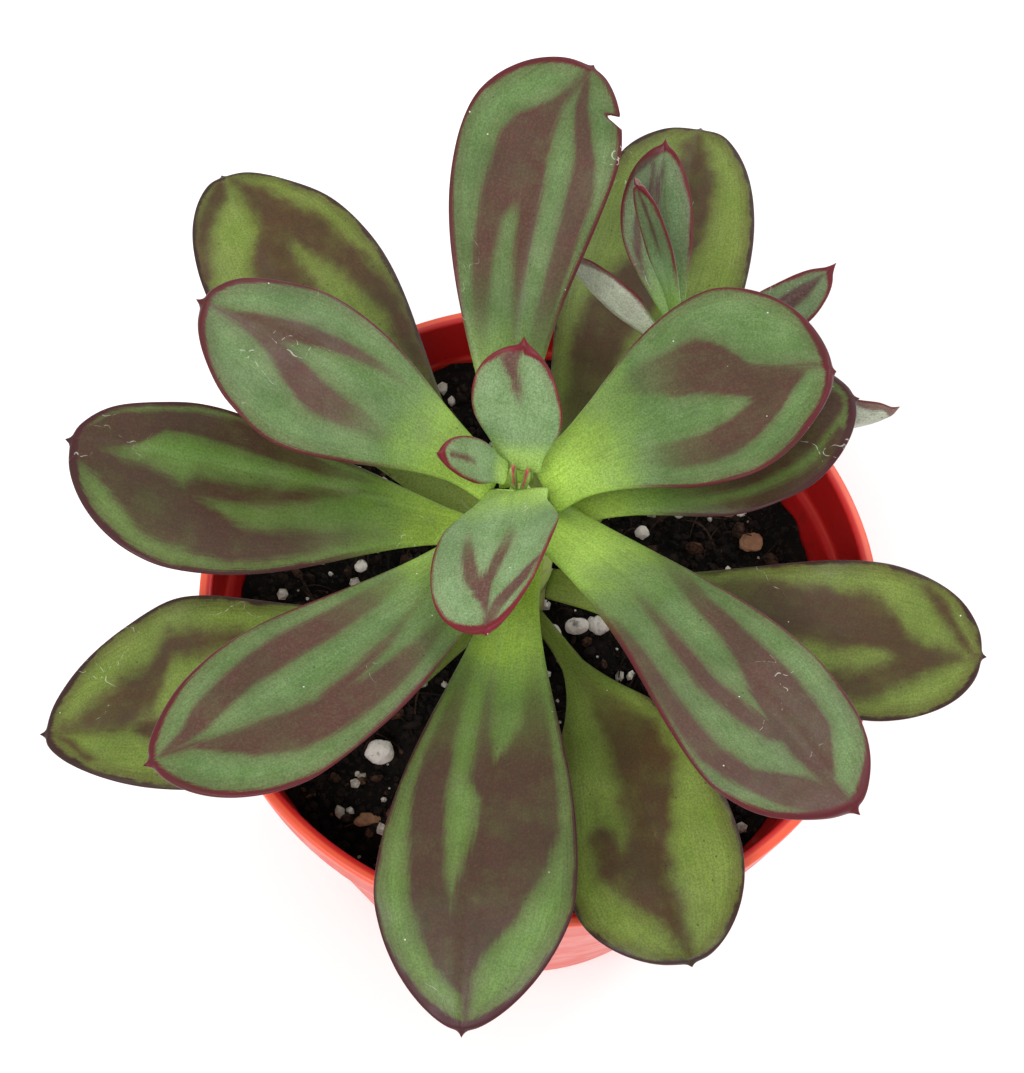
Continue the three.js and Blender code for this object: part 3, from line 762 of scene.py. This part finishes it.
def band_depth(bands, along, across, half_width):
    """How deep each point lies inside the nearest band, in metres, negative outside. A band is a
    row of (place along, middle, half width), both as shares of the half width of the leaf, joined
    by straight lines. It closes to a point half a ring past its ends."""
    deepest = np.full(across.shape, -5 * MM)
    for band in bands:
        places, middles, halves = np.array(band).T
        places = np.concatenate([[places[0] - 0.7], places, [places[-1] + 0.7]])
        middles = np.concatenate([middles[:1], middles, middles[-1:]])
        halves = np.concatenate([[-0.12], halves, [-0.12]])
        middle, half = np.interp(along, places, middles), np.interp(along, places, halves)
        depth = (half - np.abs(across - middle)) * half_width
        outside = np.maximum(places[0] - along, along - places[-1]) * 3 * MM
        deepest = np.maximum(deepest, np.minimum(depth, np.where(outside > 0, -outside, depth)))
    return np.clip(deepest, -5 * MM, 5 * MM)


def edge_distance(points, outline):
    """The distance from each point to the nearest point of the leaf's outline."""
    flat = points.reshape(-1, 3)
    best = np.full(len(flat), 1.0)
    for start in range(0, len(outline), 24):
        gap = np.linalg.norm(flat[:, None] - outline[None, start:start + 24], axis=-1).min(1)
        best = np.minimum(best, gap)
    return best.reshape(points.shape[:2])


# What a leaf has where its own marks don't say: lengths in millimetres, places in rings.
leaf_defaults = {"crease": 0.28, "wave": 0.7, "hook": 0.35, "point": 0.9, "point_reach": 1.1,
                 "rim": (0.5, 1.1), "start": 2.5, "fade": 3.5, "bites": ()}
neck_width, neck_spread = 0.45, 1.6


def leaf_piece(node, root, marks, steps, sides):
    """A leaf's skin. With t = cos(turn) from one edge (1) to the other (-1), a point is the midrib
    plus t times that edge's reach, plus along the face t squared times the edge's lift, plus or
    minus the half thickness times sin(turn). A crease runs down the middle of the upper face, a
    keel down the lower, the edges wave a little, and the last of the tip is drawn to a point. A
    neck narrows the base up to a place, and a bite pulls an edge inwards."""
    marks = {**leaf_defaults, **marks}
    lines = leaf_lines(node, root)
    places = leaf_rings * np.linspace(0, 1, steps)[:-1]
    turn = np.linspace(0, 2 * np.pi, sides, endpoint=False)
    t, up = np.cos(turn), np.sin(turn)
    along = {name: along_rows(values, places) for name, values in lines.items()}
    left = t > 0
    reach = np.where(left[:, None], t[:, None] * along["reach_a"][:, None],
                     -t[:, None] * along["reach_b"][:, None])
    if "neck" in marks:
        neck_places = (0, marks["neck"], marks["neck"] + neck_spread, leaf_rings)
        waist = np.interp(places, neck_places, (neck_width, neck_width, 1, 1))
        reach = reach * waist[:, None, None]
    rise = np.where(left, along["rise_a"], along["rise_b"]) * t**2
    half = sum(np.linalg.norm(along["reach_" + side], axis=-1) for side in "ab")[:, None] / 2
    wide = half.max()
    thick = along["half_thick"] * np.sign(up) * np.abs(up) ** 0.9
    open_share = np.clip(half / wide, 0, 1)
    crease = -marks["crease"] * MM * np.exp(-(t / 0.1) ** 2) * (up > 0) * open_share
    keel = -0.35 * MM * np.exp(-(t / 0.25) ** 2) * (up < 0) * open_share
    seed = sum(map(ord, node))
    ring_grid, t_grid = np.meshgrid(places, t, indexing="ij")
    wave = value_noise(ring_grid * 4 * MM, (t_grid > 0) * 40 * MM, 9 * MM, seed)
    dent = value_noise(ring_grid * 4 * MM, t_grid * 10 * MM, 8 * MM, seed + 1)
    dent_depth = 0.25 * min(1, wide / (8 * MM))
    bend = open_share * (marks["wave"] * wave * np.abs(t) ** 3 + dent_depth * dent) * MM
    lift = rise + thick + crease + keel + bend
    points = along["midrib"][:, None] + reach + along["face"][:, None] * lift[..., None]
    edges = [along["midrib"] + along["reach_" + side] + along["face"] * along["rise_" + side]
             for side in "ab"]
    tip = lines["midrib"][-1]
    outline = np.vstack([edges[0], tip[None], edges[1][::-1]])
    flat_leaf = along["midrib"][:, None] + reach + along["face"][:, None] * rise[..., None]
    rim = edge_distance(flat_leaf, outline)

    tip_way = unit(tip - lines["midrib"][-2]) + marks["hook"] * lines["face"][-1]
    near_tip = np.linalg.norm(points - tip, axis=-1)
    point_reach = marks["point_reach"] * MM
    draw = marks["point"] * MM * np.clip(1 - near_tip / point_reach, 0, 1) ** 3
    points = points + draw[..., None] * tip_way
    last = tip + marks["point"] * MM * tip_way

    for place, edge_sign, size, depth in marks["bites"]:
        way = (places[:, None] - place) / size
        inward = np.clip(1 - way**2, 0, 1) * depth * np.clip((t * edge_sign - 0.3) / 0.7, 0, 1)
        pull = -inward[..., None] * (along["reach_a"] if edge_sign > 0 else along["reach_b"])[:, None]
        points = points + pull

    piece = skin_piece(node + "_skin", points, [(points[0, 0] + points[0, sides // 2]) / 2], [last])
    mesh = piece.data
    rim_side, rim_tip = marks["rim"]
    rim_width = MM * (rim_side + (rim_tip - rim_side) * np.clip((places - 7) / 5, 0, 1) ** 1.5)[:, None]
    tone = value_noise(ring_grid * 3 * MM, (t_grid > 0) * 30 * MM, 5 * MM, seed + 2)
    rim_width = rim_width * (1 + 0.35 * tone)
    band = band_depth(marks["bands"], ring_grid, t_grid, half)
    fields = {
        "rim": rim - rim_width,
        "band": band,
        "along": ring_grid / leaf_rings,
        "under": -up + 0 * ring_grid,
        "start": np.clip((ring_grid - marks["start"]) / marks["fade"], 0, 1),
    }
    for name, values in fields.items():
        base_value = 0 if name == "under" else values[0].mean()
        tip_value = -1 * MM if name == "rim" else values[-1].mean()
        numbers = np.concatenate([[base_value], values.ravel(), [tip_value]])
        layer = mesh.attributes.new(name, "FLOAT", "POINT")
        layer.data.foreach_set("value", numbers.astype(np.float32))
    lay_map(mesh, steps - 1, sides)
    return piece


def lay_map(mesh, rows, sides):
    """The leaf's map, in shares: u along from base to tip, v round from one edge back to it."""
    ring, side = np.meshgrid(np.arange(rows - 1), np.arange(sides), indexing="ij")
    u = np.stack([ring, ring, ring + 1, ring + 1], -1) / rows
    v = np.stack([side, side + 1, side + 1, side], -1) / sides
    place = np.arange(sides)
    first = np.stack([0 * place, place + 1, place], -1)
    quads = np.stack([u, v], -1).reshape(-1, 2)
    low = np.stack([np.zeros(first.shape), first / sides], -1).reshape(-1, 2)
    last_turn = np.stack([place, place, place + 1], -1) / sides
    high = np.stack([np.ones(first.shape), last_turn], -1).reshape(-1, 2)
    layer = mesh.uv_layers.new(name="OFBake")
    layer.data.foreach_set("uv", np.vstack([quads, low, high]).ravel().astype(np.float32))


def leaf_look(name, green, pale, band, rim, base, under, soft=0.35, powder=0.22, base_end=0.42,
              specks=0.1, mottle=0.0, band_share=0.95, streak=1.6, blush=0.35):
    """A leaf's skin: green clouded with pale wax, a yellow-green base, purple bands and a crimson
    edge that break into fine lengthwise streaks and blush into the green beside them, a paler
    underside, fine dark grain and pores, broken lines of dried water, and specks of dust. The
    bands, edge and sides are read from the numbers held by the mesh. Lengths are in millimetres."""
    look = Look(name, 0.42, 0.22)
    look.shader.inputs["Subsurface Weight"].default_value = 0.1
    look.shader.inputs["Subsurface Radius"].default_value = (0.5, 1.0, 0.3)
    look.shader.inputs["Subsurface Scale"].default_value = 1.2 * MM
    chart = look.tree.nodes.new("ShaderNodeUVMap")
    chart.uv_map = "OFBake"
    stretch = look.tree.nodes.new("ShaderNodeMapping")
    stretch.inputs["Scale"].default_value = (0.010, 0.16, 1)
    look.join(chart.outputs["UV"], stretch.inputs["Vector"])
    streaks = look.noise(1.0 * MM, 4, stretch.outputs["Vector"], 0.6)
    grain = look.noise(0.32 * MM, 3, roughness=0.7)
    cloud = look.noise(5 * MM, 3)

    colour = look.mix(look.ramp(cloud, 0.3, 0.7), green, look.mix(0.35, green, pale))
    colour = look.mix(look.maths("MULTIPLY", look.ramp(grain, 0.42, 0.72), powder * 1.6), colour, pale)
    along = look.attribute("along")
    base_share = look.ramp(look.maths("ADD", along, look.maths("MULTIPLY", cloud, 0.12)),
                           base_end + 0.06, 0.06)
    colour = look.mix(base_share, colour, base)

    ragged = look.maths("MULTIPLY", look.maths("SUBTRACT", streaks, 0.5), streak * MM)
    grainy = look.maths("MULTIPLY", look.maths("SUBTRACT", grain, 0.5), 0.3 * streak * MM)
    ragged = look.maths("ADD", ragged, grainy)
    if mottle:
        patches = look.maths("SUBTRACT", look.noise(3.5 * MM, 4, roughness=0.6), 0.52)
        ragged = look.maths("ADD", ragged, look.maths("MULTIPLY", patches, mottle * MM))
    depth = look.maths("ADD", look.attribute("band"), ragged)
    edge = look.maths("ADD", look.attribute("rim"), look.maths("MULTIPLY", ragged, 0.55))
    halo = look.maths("MAXIMUM", look.ramp(depth, -2.6 * MM, 0.6 * MM, 0.0, blush),
                      look.ramp(edge, 2.4 * MM, 0.0, 0.0, blush))
    halo = look.maths("MULTIPLY", halo, look.ramp(look.attribute("start"), 0.0, 1.0))
    colour = look.mix(halo, colour, band)
    in_band = look.ramp(depth, -soft * MM, soft * MM)
    in_band = look.maths("MULTIPLY", in_band, look.ramp(look.attribute("start"), 0.0, 1.0))
    in_band = look.maths("MULTIPLY", in_band, look.ramp(look.noise(2.2 * MM, 3), 0.2, 0.5,
                                                        0.82 * band_share, band_share))
    dusky = look.mix(look.maths("MULTIPLY", look.ramp(grain, 0.4, 0.75), 0.5 * powder), band, pale)
    dusky = look.mix(look.ramp(cloud, 0.45, 0.75, 0.0, 0.16), dusky, green)
    colour = look.mix(in_band, colour, dusky)

    on_edge = look.ramp(edge, 0.28 * MM, -0.22 * MM)
    rim_start = look.ramp(along, 0.12, 0.32)
    colour = look.mix(look.maths("MULTIPLY", on_edge, rim_start), colour, rim)

    below = look.ramp(look.attribute("under"), 0.12, 0.4)
    below_colour = look.mix(look.ramp(look.noise(4 * MM), 0.35, 0.7), under, look.mix(0.3, under, band))
    below_colour = look.mix(base_share, below_colour, look.mix(0.5, under, base))
    below_colour = look.mix(look.maths("MULTIPLY", on_edge, look.maths("MULTIPLY", rim_start, 0.8)),
                            below_colour, rim)
    colour = look.mix(below, colour, below_colour)

    skin_dark = shade(34, 46, 20)
    skin_grain = look.noise(0.24 * MM, 2, roughness=0.7)
    colour = look.mix(look.ramp(skin_grain, 0.35, 0.62, 0.34, 0.0), colour, skin_dark)
    colour = look.mix(look.ramp(look.noise(9 * MM, 2), 0.4, 0.68, 0.0, 0.2), colour, skin_dark)
    colour = look.mix(look.ramp(streaks, 0.35, 0.6, 0.16, 0.0), colour, skin_dark)
    fold = look.maths("ABSOLUTE", look.maths("SUBTRACT", look.noise(9 * MM, 3, roughness=0.5), 0.5))
    puddles = look.ramp(look.noise(13 * MM, 1), 0.6, 0.67)
    dried = look.maths("MULTIPLY", look.ramp(fold, 0.0032, 0.0004), puddles)
    dried = look.maths("MULTIPLY", dried, look.ramp(look.noise(0.8 * MM, 2), 0.46, 0.58))
    colour = look.mix(look.maths("MULTIPLY", dried, 0.5), colour, shade(214, 218, 204))
    pores = look.spots(1.5 * MM, 0.17 * MM, specks)
    colour = look.mix(look.maths("MULTIPLY", pores, 0.6), colour, shade(40, 40, 26))
    dust = look.spots(2.2 * MM, 0.12 * MM, 0.16)
    colour = look.mix(look.maths("MULTIPLY", dust, 0.75), colour, shade(226, 226, 214))
    look.join(look.ramp(look.noise(4 * MM, 3), 0.3, 0.7, 0.36, 0.52), look.shader.inputs["Roughness"])
    fine = look.bump(grain, 0.05 * MM, 0.5)
    return look.finish(colour, look.bump(look.noise(2.5 * MM, 2), 0.12 * MM, 0.4, fine))


leaf_looks = {
    "inner": leaf_look(
        "inner_leaf_skin", green=shade(116, 148, 94), pale=shade(160, 184, 140), band=shade(98, 48, 54),
        rim=shade(116, 14, 38), base=shade(176, 210, 108), under=shade(150, 170, 116),
        soft=0.4, powder=0.3, base_end=0.2, specks=0.04, blush=0.2),
    "upper": leaf_look(
        "upper_leaf_skin", green=shade(86, 117, 60), pale=shade(136, 158, 108), band=shade(84, 44, 43),
        rim=shade(90, 14, 32), base=shade(180, 216, 90), under=shade(132, 150, 104),
        soft=0.5, powder=0.2, base_end=0.27),
    "middle": leaf_look(
        "middle_leaf_skin", green=shade(92, 124, 50), pale=shade(124, 144, 90), band=shade(70, 36, 34),
        rim=shade(66, 16, 30), base=shade(180, 212, 80), under=shade(124, 140, 92),
        soft=0.6, powder=0.15, base_end=0.24, specks=0.16, mottle=1.4, blush=0.5),
    # The lower leaves' base is a dull green close to their own green, not the bright yellow-green of the
    # other kinds: painted shade under the leaves above.
    "lower": leaf_look(
        "lower_leaf_skin", green=shade(112, 132, 50), pale=shade(136, 150, 80), band=shade(74, 42, 30),
        rim=shade(56, 24, 28), base=shade(120, 136, 54), under=shade(124, 134, 84),
        soft=1.0, powder=0.12, base_end=0.18, specks=0.5, mottle=3.2, band_share=0.92, blush=0.55),
    "offset": leaf_look(
        "offset_leaf_skin", green=shade(106, 136, 88), pale=shade(150, 172, 130), band=shade(84, 36, 48),
        rim=shade(104, 14, 36), base=shade(134, 172, 76), under=shade(214, 220, 198),
        soft=0.3, powder=0.28, base_end=0.3, specks=0.04),
    "bud": leaf_look(
        "bud_skin", green=shade(170, 206, 110), pale=shade(196, 220, 150), band=shade(150, 60, 80),
        rim=shade(186, 50, 84), base=shade(176, 214, 96), under=shade(190, 214, 130),
        soft=0.1, powder=0.2, base_end=0.3, specks=0.0, streak=0.12, blush=0.0),
}

# Each leaf's bands: (place along in rings, middle, half width), the last two as shares of the
# leaf's half width, 1 at the left edge seen from above with the base towards the viewer.
leaf_marks = {
    "inner_leaf_left": {
        "point": 0.9, "point_reach": 1.1, "rim": (0.24, 0.5), "crease": 0.1, "wave": 0.2,
        "bands": [
            [(5, 0.05, 0.08), (6.5, 0, 0.14), (8, 0, 0.12), (10, 0, 0.2)]]},
    "inner_leaf_back": {
        "point": 1.3, "point_reach": 1.5, "rim": (0.3, 0.9), "wave": 0.3, "start": 4,
        "bands": [
            [(4.5, -0.02, 0.04), (6, 0.06, 0.1), (7.5, 0.15, 0.09), (9, 0.28, 0.16),
             (10.5, 0.38, 0.28), (12, 0.3, 0.3)]]},
    "inner_leaf_front": {
        "point": 0.7, "point_reach": 1, "rim": (0.3, 0.9), "wave": 0.3, "start": 2,
        "bands": [
            [(2.4, 0.2, 0.05), (3.7, 0.25, 0.09), (5, 0.18, 0.12), (6.2, 0.07, 0.12),
             (7.3, -0.04, 0.16), (8.2, -0.08, 0.17), (9, 0, 0.1), (10.5, 0.04, 0.08), (12, 0, 0.12)],
            [(3.2, -0.5, 0.05), (4.4, -0.4, 0.1), (5.6, -0.33, 0.12), (6.7, -0.26, 0.15),
             (7.6, -0.15, 0.15)],
            [(6.4, 0.92, 0.05), (7, 0.82, 0.1), (8, 0.68, 0.19), (9, 0.5, 0.24), (10.5, 0.3, 0.24),
             (12, 0.15, 0.25)]]},
    "upper_leaf_left": {
        "point": 0.7, "rim": (0.45, 0.9),
        "bands": [
            [(2.8, 0.58, 0.07), (4.4, 0.46, 0.14), (6, 0.4, 0.17), (7.4, 0.25, 0.14),
             (8.4, 0.12, 0.12), (9.5, 0.07, 0.08), (10.8, 0.08, 0.04), (12.6, 0.05, 0.05)],
            [(3.6, -0.44, 0.05), (5, -0.34, 0.1), (6.3, -0.25, 0.13), (7.5, -0.16, 0.18),
             (8.6, -0.07, 0.17), (9.6, -0.03, 0.13), (10.6, 0.02, 0.07), (12, 0.06, 0.04)]]},
    "upper_leaf_right": {
        "point": 0.3, "rim": (0.4, 0.85),
        "bands": [
            [(2.8, 0.72, 0.07), (3.7, 0.56, 0.16), (4.8, 0.39, 0.24), (6, 0.33, 0.27),
             (6.9, 0.2, 0.24), (7.9, 0.02, 0.19), (9.2, -0.01, 0.15), (10.3, 0.09, 0.05),
             (12, 0.14, 0.03)],
            [(2.8, -0.45, 0.13), (4.2, -0.55, 0.18), (5.4, -0.57, 0.18), (6.6, -0.51, 0.2),
             (7.7, -0.39, 0.21), (8.9, -0.25, 0.2), (9.8, -0.08, 0.14), (10.5, 0, 0.06)]]},
    "upper_leaf_front_right": {
        "point": 0.8, "rim": (0.4, 1.1), "start": 1.6,
        "bands": [
            [(2.4, 0.85, 0.08), (3, 0.72, 0.17), (4, 0.48, 0.16), (5.2, 0.38, 0.18), (6.7, 0.25, 0.3),
             (7.9, 0.19, 0.35), (9.1, 0.15, 0.32), (10, 0.05, 0.22), (11.1, -0.1, 0.1),
             (12.6, -0.1, 0.1)],
            [(3.1, -0.24, 0.05), (4.6, -0.34, 0.1), (6, -0.37, 0.11), (7.3, -0.27, 0.1),
             (8.4, -0.15, 0.1)],
            [(3.4, -0.9, 0.1), (5.2, -0.87, 0.11), (6.7, -0.84, 0.11), (7.9, -0.8, 0.13),
             (9.1, -0.69, 0.13), (10.3, -0.5, 0.27), (11.5, -0.45, 0.35), (12.8, -0.4, 0.4)]]},
    "upper_leaf_back": {
        "point": 0.3, "rim": (0.48, 0.78), "start": 1.8, "bites": [(10.5, -1, 0.28, 0.3)],
        "bands": [
            [(2.4, 0.78, 0.08), (3.4, 0.66, 0.14), (4.6, 0.56, 0.14), (5.8, 0.49, 0.15),
             (7, 0.36, 0.24), (8.2, 0.31, 0.28), (9, 0.28, 0.21), (10, 0.17, 0.09), (11.1, 0.1, 0.04),
             (12.6, 0.07, 0.04)],
            [(3, -0.02, 0.06), (4.6, 0.01, 0.1), (5.8, 0.04, 0.12), (7, 0.1, 0.14), (8, 0.2, 0.15)],
            [(2.6, -0.66, 0.2), (3.2, -0.66, 0.23), (4.4, -0.65, 0.18), (5.8, -0.62, 0.18),
             (7, -0.6, 0.2), (8.2, -0.51, 0.16), (9, -0.38, 0.14), (10.3, -0.19, 0.14),
             (11.5, -0.09, 0.1), (12.6, 0, 0.06)]]},
    "upper_leaf_front_left": {
        "point": 0.8, "rim": (0.36, 0.85), "start": 1.8,
        "bands": [
            [(2.7, 0.62, 0.08), (4.2, 0.62, 0.16), (5.2, 0.61, 0.18), (6.4, 0.54, 0.22),
             (7.7, 0.44, 0.24), (8.9, 0.33, 0.18), (9.8, 0.2, 0.11), (10.7, 0.06, 0.06),
             (12.4, 0.03, 0.06)],
            [(2.6, -0.05, 0.03), (4.2, 0.23, 0.06), (5.4, 0.31, 0.07), (6.4, 0.38, 0.1)],
            [(2.2, -0.8, 0.12), (3.7, -0.57, 0.2), (4.9, -0.51, 0.2), (6.3, -0.5, 0.22),
             (7.5, -0.47, 0.2), (8.6, -0.4, 0.2), (9.8, -0.29, 0.22), (10.7, -0.15, 0.16),
             (12.2, -0.02, 0.08)]]},
    "middle_leaf_left": {
        "point": 0.6, "rim": (0.48, 0.98), "start": 1.8,
        "bands": [
            [(2.4, 0.68, 0.12), (4.4, 0.72, 0.15), (5.9, 0.72, 0.18), (7.4, 0.56, 0.27),
             (8.9, 0.44, 0.32), (10, 0.35, 0.22), (11, 0.25, 0.2), (12.6, 0.2, 0.4)],
            [(2.8, -0.25, 0.04), (3.7, 0.03, 0.07), (4.9, 0.19, 0.08), (6, 0.22, 0.08),
             (7.4, 0.24, 0.1)],
            [(2.6, -0.68, 0.1), (4, -0.52, 0.17), (5.2, -0.6, 0.24), (6.4, -0.65, 0.24),
             (7.4, -0.64, 0.2), (8.6, -0.62, 0.2), (9.7, -0.45, 0.35), (10.9, -0.35, 0.45),
             (12, -0.25, 0.35), (13, -0.1, 0.4)]]},
    "middle_leaf_right": {
        "point": 0.5, "rim": (0.48, 0.91), "start": 2.6,
        "bands": [
            [(3.4, 0.35, 0.25), (6, 0.4, 0.35), (9, 0.3, 0.3), (11.5, 0.1, 0.2)],
            [(3.2, -0.45, 0.3), (5, -0.5, 0.22), (7.5, -0.45, 0.22), (9.5, -0.35, 0.2),
             (11.5, -0.1, 0.2)],
            [(3, -0.92, 0.08), (5, -0.92, 0.1), (7, -0.9, 0.1), (9, -0.88, 0.1), (11, -0.75, 0.2)]]},
    "middle_leaf_front": {
        "point": 0.6, "rim": (0.36, 1.1), "start": 1.6,
        "bands": [
            [(2.2, 0.72, 0.1), (3.6, 0.66, 0.2), (4.8, 0.42, 0.42), (6, 0.4, 0.42), (7.2, 0.26, 0.39),
             (8.3, 0.12, 0.34), (9.5, -0.06, 0.27), (10.4, -0.1, 0.22), (11.2, 0.04, 0.09),
             (12.6, 0.14, 0.05)],
            [(2.2, -0.16, 0.06), (3.6, -0.08, 0.1), (5, 0, 0.15)],
            [(2.4, -0.72, 0.12), (4.2, -0.66, 0.17), (5.4, -0.6, 0.2), (6.6, -0.52, 0.18),
             (7.7, -0.44, 0.2), (8.9, -0.33, 0.22), (10.1, -0.2, 0.2)]]},
    "lower_leaf_back_left": {
        "point": 0.4, "rim": (0.45, 0.72), "wave": 1.1, "start": 1,
        "bands": [
            [(2, -0.85, 0.1), (3.7, -0.85, 0.12), (5, -0.82, 0.11), (6.6, -0.68, 0.13),
             (7.7, -0.58, 0.18), (8.9, -0.42, 0.27), (10.4, -0.34, 0.22), (11.3, -0.32, 0.16),
             (12.4, -0.2, 0.1)],
            [(5, 0.1, 0.25), (7, 0.1, 0.3), (8, 0.02, 0.27), (8.8, -0.15, 0.2)],
            [(8.2, 0.93, 0.05), (9.5, 0.85, 0.1), (10.5, 0.72, 0.17), (11.3, 0.5, 0.26),
             (12.4, 0.3, 0.25)]]},
    "lower_leaf_back_right": {
        "point": 0.4, "rim": (0.39, 0.54), "wave": 1.3, "start": 0.6,
        "bands": [
            [(2, 0.45, 0.25), (4, 0.45, 0.3), (5.5, 0.25, 0.3), (7, -0.05, 0.25), (8.5, -0.18, 0.22),
             (10, -0.08, 0.27), (11.5, 0, 0.2), (12.6, 0, 0.1)]]},
    "lower_leaf_left": {
        "point": 0.7, "rim": (0.45, 0.72), "wave": 1.1, "start": 2,
        "bands": [
            [(5.4, -0.6, 0.06), (7.4, -0.62, 0.08), (8.2, -0.3, 0.2), (9.2, -0.25, 0.22),
             (10.4, -0.14, 0.13), (11.6, -0.05, 0.06), (12.8, 0, 0.04)],
            [(4, 0.5, 0.25), (7, 0.4, 0.25), (8.4, 0.05, 0.15)],
            [(10.6, 0.66, 0.1), (11.3, 0.36, 0.14), (12.2, 0.15, 0.12)]]},
    "lower_leaf_right": {
        "point": 0.6, "rim": (0.36, 0.54), "wave": 0.9, "start": 1.6,
        "bands": [
            [(3, 0.45, 0.25), (4, 0.4, 0.33), (5.2, 0.27, 0.38), (6.7, 0.24, 0.35), (7.9, 0.22, 0.28),
             (8.8, -0.02, 0.2), (9.7, -0.16, 0.15), (11.1, -0.1, 0.05), (12.6, -0.1, 0.05)],
            [(5.4, -0.75, 0.1), (6.7, -0.65, 0.15), (7.6, -0.54, 0.17), (8.6, -0.36, 0.2),
             (9.6, -0.2, 0.14)],
            [(9.4, 0.84, 0.07), (10, 0.72, 0.11), (10.8, 0.5, 0.09), (11.6, 0.25, 0.08),
             (12.4, 0, 0.06)]]},
    "lower_leaf_front": {
        "neck": 1.6, "point": 0.4, "rim": (0.39, 0.54), "wave": 1, "start": 1,
        "bands": [
            [(2, 0.12, 0.2), (2.8, 0.15, 0.25), (3.9, 0.3, 0.45), (5, 0.22, 0.4), (6.3, 0.02, 0.25),
             (7.5, -0.2, 0.26), (8.6, -0.25, 0.22), (9.8, -0.15, 0.17), (11, -0.05, 0.06),
             (12.6, 0, 0.05)],
            [(6.4, -0.55, 0.12), (7.8, -0.5, 0.12), (8.8, -0.35, 0.1)]]},
    "offset_leaf_back": {
        "point": 0.8, "point_reach": 1.2, "rim": (0.45, 0.8), "wave": 0.4, "start": 1,
        "bands": [
            [(2, 0.85, 0.06), (4.5, 0.68, 0.1), (6, 0.57, 0.1), (7.5, 0.32, 0.1), (9, 0.26, 0.08),
             (10.4, 0.35, 0.06)],
            [(3, 0, 0.06), (5, 0.1, 0.08), (7.2, 0.15, 0.09), (8.3, 0.1, 0.09), (9.5, 0, 0.06),
             (10.6, -0.05, 0.04)],
            [(9, 0.9, 0.08), (10.2, 0.72, 0.2), (11.5, 0.5, 0.3), (12.6, 0.2, 0.3)]]},
    "offset_leaf_centre": {
        "point": 0.7, "point_reach": 1, "rim": (0.3, 0.6), "crease": 0.1, "wave": 0.2, "start": 3,
        "bands": [
            [(5, 0, 0.1), (9, 0, 0.15), (12, 0, 0.2)]]},
    "offset_leaf_left": {
        "point": 0.7, "point_reach": 1, "rim": (0.4, 0.7), "wave": 0.3, "start": 2,
        "bands": [
            [(3, 0.1, 0.1), (6, 0.1, 0.15), (9, 0.05, 0.15), (12, 0, 0.2)]]},
    "offset_leaf_right_back": {
        "point": 1.1, "point_reach": 1.4, "rim": (0.4, 0.9), "wave": 0.4, "start": 2,
        "bands": [
            [(4, 0.1, 0.2), (6.4, 0.05, 0.33), (8, 0.05, 0.33), (9.4, 0.05, 0.2), (11, 0.05, 0.1)]]},
    "offset_leaf_right": {
        "point": 1, "point_reach": 1.3, "rim": (0.5, 1), "wave": 0.4, "start": 2,
        "bands": [
            [(3, 0.2, 0.15), (6, 0.2, 0.25), (9, 0.1, 0.25), (12, 0, 0.2)]]},
    "bud_leaf_left": {
        "point": 0.3, "point_reach": 0.4, "rim": (0.12, 0.25), "crease": 0.02, "wave": 0,
        "bands": []},
    "bud_leaf_right": {
        "point": 0.3, "point_reach": 0.4, "rim": (0.12, 0.25), "crease": 0.02, "wave": 0,
        "bands": []},
}

main_root = np.array([*stem_middle[:2], stem_high[2] - 12 * MM])
side_high = np.array(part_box("side_stem")[1])
for node, marks in leaf_marks.items():
    kind = node.split("_")[0]
    root = main_root
    if kind == "offset":
        root = side_high
    if kind == "bud":
        bud_low, bud_high = (np.array(corner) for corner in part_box(node))
        root = np.array([*((bud_low + bud_high) / 2)[:2], 0])
    steps, sides = (82, 64) if kind in ("offset", "bud") else (118, 96)
    leaf = leaf_piece(node, root, marks, steps, sides)
    leaf.data.materials.append(leaf_looks[kind])
    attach(leaf, "root")
    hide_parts(node)
